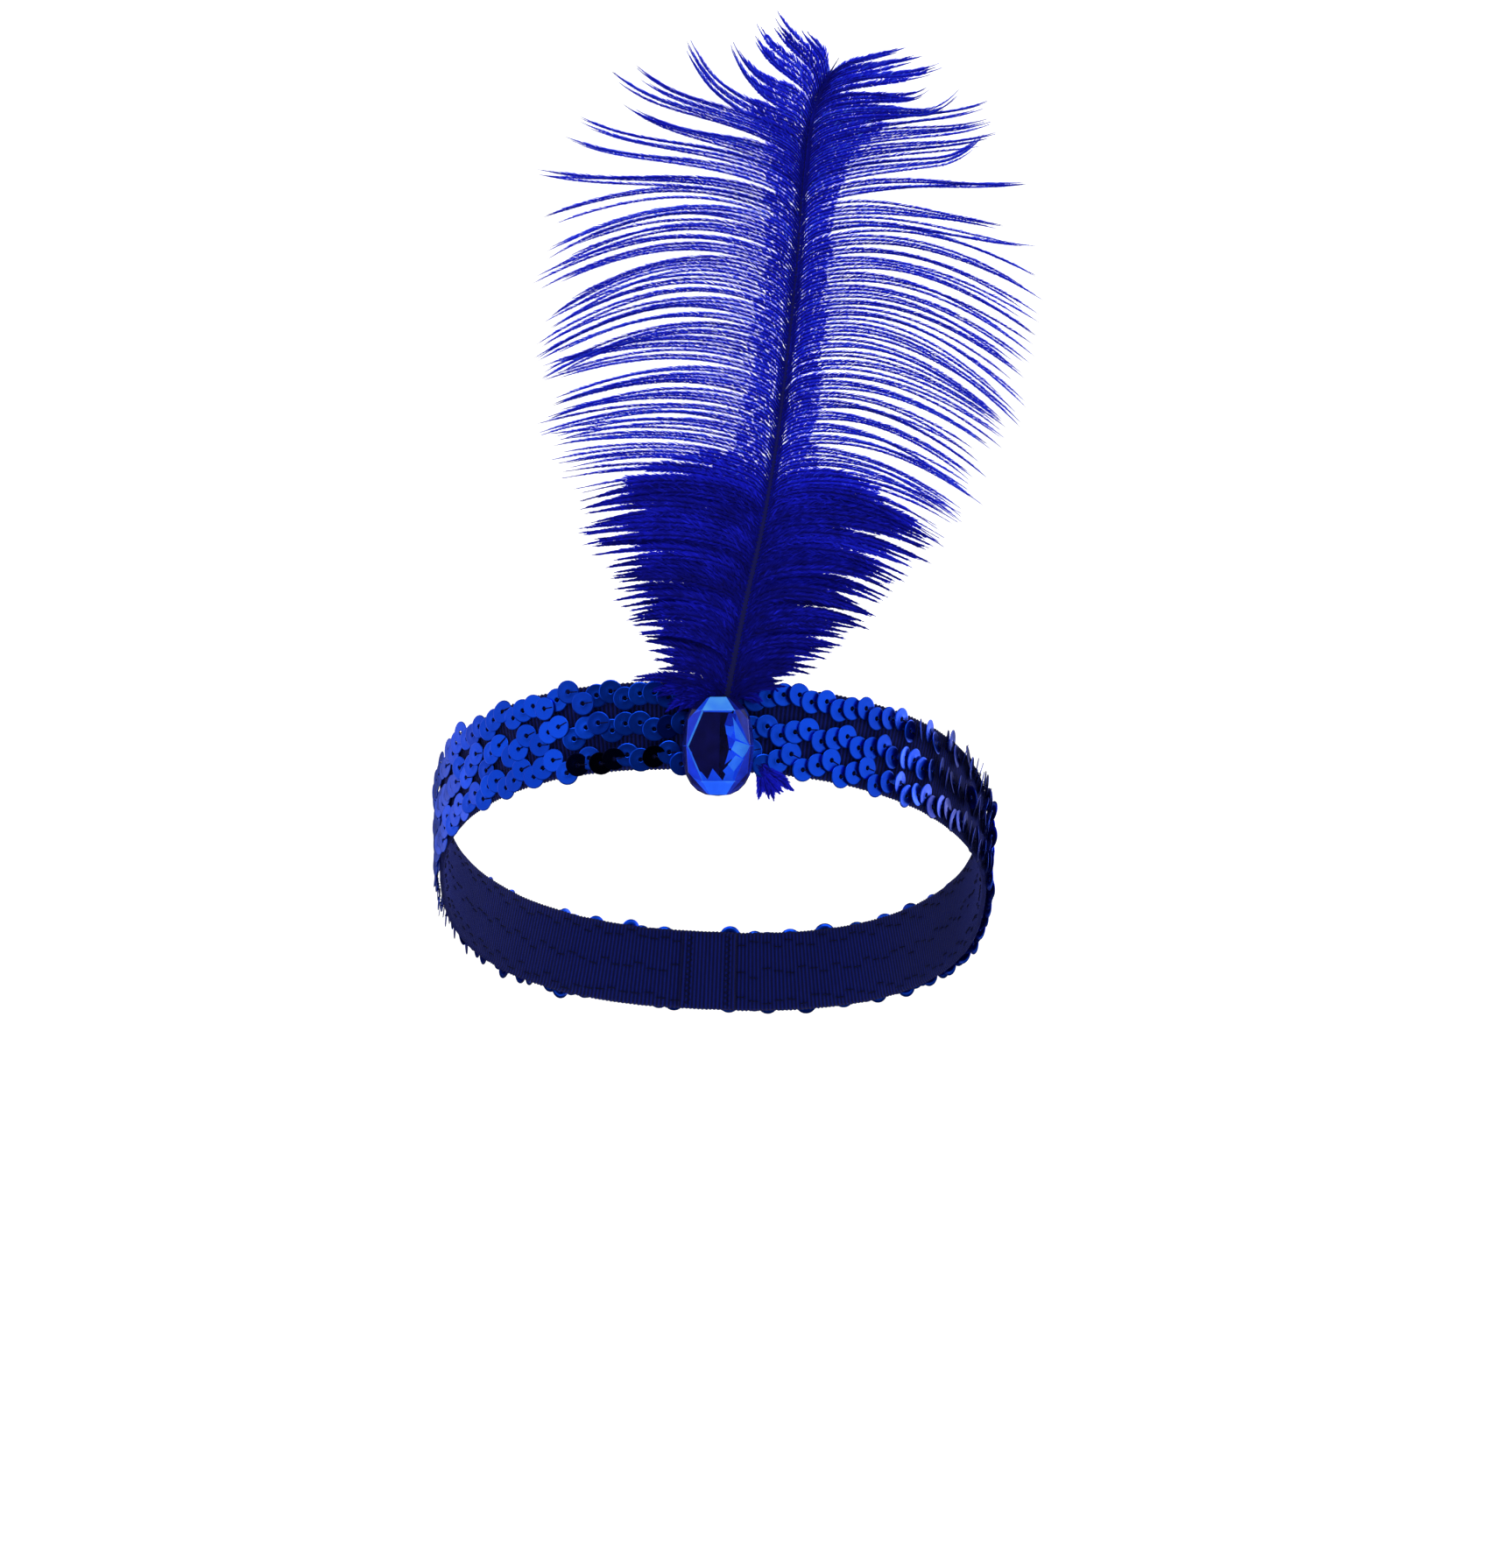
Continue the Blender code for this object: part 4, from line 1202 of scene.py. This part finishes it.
def loose_lines(word, rng):
    """The centre lines of the loose down round the stone and of the tuft under the band, and the heights
    of the roots that their side fibres are like."""
    share = (np.linspace(0, 1, BARB_STEPS) ** 1.1)[:, None]
    lines, roots = [], []
    for strand in LOOSE_DOWN:
        if (strand["end"][0] > 0) != (word == "right"):
            continue
        for _ in range(strand["count"]):
            start, bend, end = (
                np.array([strand[key][0], strand["out"], strand[key][1]]) / 1000
                + rng.normal(0, 1, 3) * LOOSE_SCATTER * spread
                for key, spread in LOOSE_SPREADS.items()
            )
            line = start * (1 - share) ** 2 + 2 * bend * share * (1 - share) + end * share**2
            lines.append(line * (1, -1, 1) + (0, -SEQUIN_FACE, FRONT_Z))
            roots.append(TUFT_LIKE_ROOT if end[2] < 0 else COLLAR_LIKE_ROOT)
    return np.array(lines), np.array(roots)


def fibre_feet(side, downy, whole, dense_to, bare):
    """Where side fibres leave a barb: lengths along it, 1 above it or -1 under it, and 1 if close or 0."""
    made = []
    sparse = side == "left" and downy < 0.5
    under_steps = (SPARSE_UNDER_STEP, UNDER_STEPS[1]) if sparse else UNDER_STEPS
    for face, (close_step, apart_step) in ((1, UPPER_STEPS), (-1, under_steps)):
        bare_here = bare * (1.0 if face > 0 else 1.7)
        near = np.arange(bare_here, dense_to, close_step * (1 - 0.22 * downy))
        far = np.arange(dense_to, whole * 0.985, apart_step)
        for feet, dense in ((near, 1), (far, 0)):
            made.append(np.stack([feet, np.full(len(feet), face), np.full(len(feet), dense)], -1))
    return np.concatenate(made).T


def by_kind(dense, key, rows=FIBRES):
    """A value for the fibres that lie close and for those that stand apart."""
    return np.where(dense > 0, rows["close"][key], rows["apart"][key])


def fibre_reach(side, root, whole, rooted, feet, rng):
    """How far each side fibre of a barb reaches."""
    at, face, dense = feet
    downy = downiness(root)
    crown = step_between(root, CROWN_FROM, CROWN_FULL)
    reach = by_kind(dense, "reach") - by_kind(dense, "loses") * (at / whole)
    reach = reach * rng.uniform(0.75, 1.2, len(at))
    under = np.where(dense > 0, UNDER_CLOSE[side] + 0.2 * downy, UNDER_APART) * (1 - 0.35 * crown)
    reach = reach * np.where(face > 0, 1.0, under) * (1 + 0.55 * downy)
    if side == "left":
        reach = reach * (1.12 + 0.25 * crown)
    taper = min(0.007 + 0.011 * downy, 0.4 * whole)
    reach = reach * np.clip((whole - at) / taper, 0.22, 1)
    reach = reach * np.clip(at / 0.0045 + 0.6 * downy, rooted, 1)
    clump = np.sin(at / rng.uniform(*CLUMP_LENGTHS) + rng.uniform(0, FULL_TURN))
    clump = ramp(clump, CLUMP_FROM, 1 - CLUMP_FROM) * dense * (1 - downy)
    clump = clump * CLUMP[side] * (1 - 0.3 * crown)
    return reach * (1 - clump * np.where(face > 0, 1.0, 0.25))


def fibre_shades(root, whole, at, dense, rng):
    """Shades of the five points of each side fibre."""
    downy = downiness(root)
    shade = by_kind(dense, "foot", FIBRE_SHADES)
    shade = shade + rng.normal(0, SHADE_SPREAD, len(at)) + rng.normal(0, SHADE_SPREAD)
    # Painted highlights: a few fibres at random are painted lighter
    shade = shade + np.where(rng.random(len(at)) < HIGHLIGHT_SHARE, HIGHLIGHT_BY * (1 - 0.6 * downy), 0)
    # Painted shade: the down below the vane is painted darker, most at the lowest roots by the stone and
    # less towards its tips
    shade = shade - downy * (0.20 + 0.16 * np.clip(1 - root / DOWNY_BELOW, 0, 1) - 0.12 * (at / whole))
    shade = shade - 0.03 * np.exp(-at / 0.003)
    # Painted backlight: each fibre's tip is painted lighter than its foot
    painted_backlight_tip = shade + by_kind(dense, "tip", FIBRE_SHADES) * (1 - downy)
    return np.stack([shade - 0.14, shade - 0.14, shade, shade, painted_backlight_tip], 1)


def side_fibres(line, root, rng):
    """Fine side fibres of one barb as narrow pointed strips: five points each, and their shades. They lie
    close beside the quill and stand apart further out, mostly on the barb's upper edge."""
    length = np.concatenate([[0], np.cumsum(np.linalg.norm(np.diff(line, axis=0), axis=1))])
    whole = length[-1]
    downy = downiness(root)
    side = "left" if line[-1, 0] < line[0, 0] else "right"
    dense_to = from_table(DENSE, root, side) * rng.uniform(0.86, 1.16) + downy * whole * 0.75
    bare = BARE_ROOT * (1 - 0.85 * downy) * rng.uniform(0.2, 1.0)
    rooted = rng.uniform(*ROOTED[side])
    at, face, dense = fibre_feet(side, downy, whole, min(dense_to, whole * 0.96), bare)
    size = len(at)

    def on_line(place):
        return np.stack([np.interp(place, length, line[:, k]) for k in range(3)], -1)

    # Feet on the barb, the barb's direction there, and the direction up from it or down
    at = at + rng.normal(0, FIBRE_SCATTER, size)
    base = on_line(at) + (0, FIBRE_BEHIND, 0)
    along = unit(on_line(at + 0.0006) - on_line(at - 0.0006))
    upward = np.stack([-along[:, 2] * np.sign(along[:, 0]), 0 * at, np.abs(along[:, 0])], -1)
    upward *= face[:, None]

    # How far they lean and reach, and their points: two at the foot, two half way, and the tip
    leans = [rng.normal(FIBRES[kind]["lean"], LEAN_SPREAD, size) for kind in ("close", "apart")]
    angle = np.where(dense > 0, *leans) * (1 - 0.22 * downy) + downy * rng.normal(0.0, LEAN_SPREAD, size)
    reach = fibre_reach(side, root, whole, rooted, (at, face, dense), rng)
    turn = rng.normal(0, TURN_SPREAD, size)[:, None]
    aside = upward * np.cos(turn) + np.sin(turn) * np.array([0, 1.0, 0])
    first, second = (along * np.cos(a)[:, None] + aside * np.sin(a)[:, None] for a in (angle, angle * 0.6))
    half_reach = (reach * 0.5)[:, None]
    middle = base + first * half_reach
    tip = middle + second * half_reach
    width = by_kind(dense, "width") + by_kind(dense, "downy_width") * downy
    width = width * rng.uniform(0.8, 1.2, size)
    half = unit(np.cross(first, np.array([0, 1.0, 0]))) * (width / 2)[:, None]
    points = np.stack([base - half, base + half, middle + half * 0.8, middle - half * 0.8, tip], 1)
    return points, fibre_shades(root, whole, at, dense, rng)


def barb_piece(name, lines, roots, rng, material, node):
    """Barbs and their side fibres in one mesh."""
    share = np.linspace(0, 1, BARB_STEPS)
    radii = BARB_RADIUS + (BARB_TIP_RADIUS - BARB_RADIUS) * share
    radii = radii + (BARB_ROOT_RADIUS - BARB_RADIUS) * np.exp(-share / 0.016)
    barbs, quads, caps = tubes(lines, np.tile(radii, (len(lines), 1)), BARB_SIDES)
    shade = np.tile(0.10 + 0.20 * share + 0.24 * np.exp(-share / 0.03), len(lines))
    points, shades = [barbs], [np.repeat(shade, BARB_SIDES)]
    for line, root in zip(lines, roots):
        fibres, tones = side_fibres(line, root, rng)
        points.append(fibres.reshape(-1, 3))
        shades.append(tones.ravel())
    points = np.concatenate(points)
    foot = np.arange(len(barbs), len(points), 5)
    strips = np.stack([foot, foot + 1, foot + 2, foot + 3], -1)
    tips = np.stack([foot + 3, foot + 2, foot + 4], -1)
    mesh = mesh_of(name, points, [quads, caps, strips, tips], {"shade": np.concatenate(shades)})
    piece(name, mesh, material, (node,))


def plume_side(word, material):
    """One side of the plume: the down below, with the loose down, and the airy vane above it."""
    rng = np.random.default_rng(PLUME_SEEDS[word])
    lines, roots = barb_lines(word, rng)
    loose, loose_roots = loose_lines(word, rng)
    low = roots < DOWNY_BELOW
    low_lines = np.concatenate([lines[low], loose])
    low_roots = np.concatenate([roots[low], loose_roots])
    barb_piece("down_" + word, low_lines, low_roots, rng, material, "plume_" + word)
    barb_piece("vane_" + word, lines[~low], roots[~low], rng, material, "plume_" + word)


# Stage
CAMERA_AIM = Vector((0.0084, -0.0920, 0.0191))
CAMERA_DISTANCE = 1.40
CAMERA_AZIMUTH = math.radians(-1.2)
SENSOR_WIDTH = 36.0
FOCAL_PIXELS = 6400
PHOTO_HEIGHT_PIXELS = 1790
LIT_PLACE = Vector((0, -0.06, 0.08))
SOFTBOXES = table(
    "name place size radiance",
    ("key_left", (-1.25, -0.75, 0.30), (1.6, 1.6), 0.70),
    ("side_left", (-1.25, 0.60, 0.20), (1.1, 1.5), 0.90),
    ("rim_right", (1.23, 0.77, 0.30), (0.72, 1.4), 3.0),
    ("fill_right", (1.35, -0.55, 0.25), (2.0, 1.6), 0.85),
    ("top", (0.0, -1.05, 1.30), (1.5, 1.0), 3.0),
)
FLOOR_Z = -0.34
FLOOR_FRONT = -3.0
FLOOR_HALF_WIDTH = 3.5
WALL_Y = 1.7
WALL_TOP = 2.6
SWEEP_RADIUS = 0.6
SWEEP_STEPS = 12


def camera():
    """The camera, level and a little to one side of the front, at the photo's viewing angle."""
    data = bpy.data.cameras.new("camera")
    data.lens = SENSOR_WIDTH * FOCAL_PIXELS / PHOTO_HEIGHT_PIXELS
    data.sensor_width = SENSOR_WIDTH
    item = bpy.data.objects.new("camera", data)
    direction = Vector((math.sin(CAMERA_AZIMUTH), -math.cos(CAMERA_AZIMUTH), 0))
    item.location = CAMERA_AIM + direction * CAMERA_DISTANCE
    item.rotation_euler = (math.radians(90), 0, CAMERA_AZIMUTH)
    bpy.context.scene.collection.objects.link(item)
    bpy.context.scene.camera = item


def softbox(name, place, size, radiance):
    """A rectangular lamp that faces the headband."""
    data = bpy.data.lights.new(name, "AREA")
    data.shape = "RECTANGLE"
    data.size, data.size_y = size
    data.energy = radiance * math.pi * size[0] * size[1]
    lamp = bpy.data.objects.new(name, data)
    lamp.location = place
    lamp.rotation_euler = (LIT_PLACE - Vector(place)).to_track_quat("-Z", "Y").to_euler()
    bpy.context.scene.collection.objects.link(lamp)


def world():
    """A white backdrop for the camera, and a dim grey room for everything else."""
    studio = bpy.data.worlds.new("studio")
    bpy.context.scene.world = studio
    studio.use_nodes = True
    tree = studio.node_tree
    seen = tree.nodes["Background"]
    seen.inputs["Color"].default_value = (1, 1, 1, 1)
    seen.inputs["Strength"].default_value = 1.0
    room = tree.nodes.new("ShaderNodeBackground")
    room.inputs["Color"].default_value = (0.55, 0.57, 0.60, 1)
    room.inputs["Strength"].default_value = 0.15
    rays = tree.nodes.new("ShaderNodeLightPath")
    mix = tree.nodes.new("ShaderNodeMixShader")
    tree.links.new(rays.outputs["Is Camera Ray"], mix.inputs["Fac"])
    tree.links.new(room.outputs["Background"], mix.inputs[1])
    tree.links.new(seen.outputs["Background"], mix.inputs[2])
    tree.links.new(mix.outputs["Shader"], tree.nodes["World Output"].inputs["Surface"])


def sweep():
    """The floor, which runs up into the backdrop in one curve."""
    section = [(FLOOR_FRONT, FLOOR_Z), (WALL_Y - SWEEP_RADIUS, FLOOR_Z)]
    for k in range(1, SWEEP_STEPS + 1):
        turn = math.radians(90) * k / SWEEP_STEPS
        y = WALL_Y - SWEEP_RADIUS + SWEEP_RADIUS * math.sin(turn)
        section.append((y, FLOOR_Z + SWEEP_RADIUS * (1 - math.cos(turn))))
    section.append((WALL_Y, WALL_TOP))
    points = [(x, y, z) for y, z in section for x in (-FLOOR_HALF_WIDTH, FLOOR_HALF_WIDTH)]
    quads = np.array([(2 * k, 2 * k + 1, 2 * k + 3, 2 * k + 2) for k in range(len(section) - 1)])
    mesh = mesh_of("sweep", np.array(points), [quads])
    mesh.materials.append(paper_material())
    item = bpy.data.objects.new("sweep", mesh)
    bpy.context.scene.collection.objects.link(item)
    item.visible_glossy = False


def main():
    """Builds the stage, and the headband on it."""
    bpy.context.scene.view_settings.view_transform = "Standard"
    bpy.context.scene.view_settings.look = "None"
    camera()
    for lamp in SOFTBOXES:
        softbox(**lamp)
    world()
    sweep()
    elastic_look = elastic_material()
    thread_look = thread_material()
    elastic = ribbed_elastic(elastic_look)
    join = back_join(elastic_look)
    foil_look = foil_material()
    fronts, backs, rows = [], [], []
    for row, lane in (("top", ROW_PITCH), ("middle", 0.0), ("bottom", -ROW_PITCH)):
        places = sequin_places(row, lane)
        rows.append(sequin_row(row, places, foil_look))
        front, back = stitch_lines(places)
        fronts.append(front)
        backs.append(back)
    over = thread_piece("sequin_threads", np.concatenate(fronts), FACE_THREAD_RADIUS, thread_look)
    inside = thread_piece("inner_stitches", np.concatenate(backs), INNER_STITCH_RADIUS, thread_look)
    seams = join_stitches(thread_look)
    cut_stone(stone_material(), facet_material("stone_facets", 0.0))
    # The stone's depths glow: painted light for what the facets throw back through the stone
    stone_inside(facet_material("stone_depths", 0.45))
    pad = frame["nodes"]["glue_pad"]
    felt = felt_material()
    for slot in pad.material_slots:
        slot.material = felt
    quill_shaft(quill_material())
    down = plume_material()
    for word in ("left", "right"):
        plume_side(word, down)


main()

bpy.context.view_layer.update()
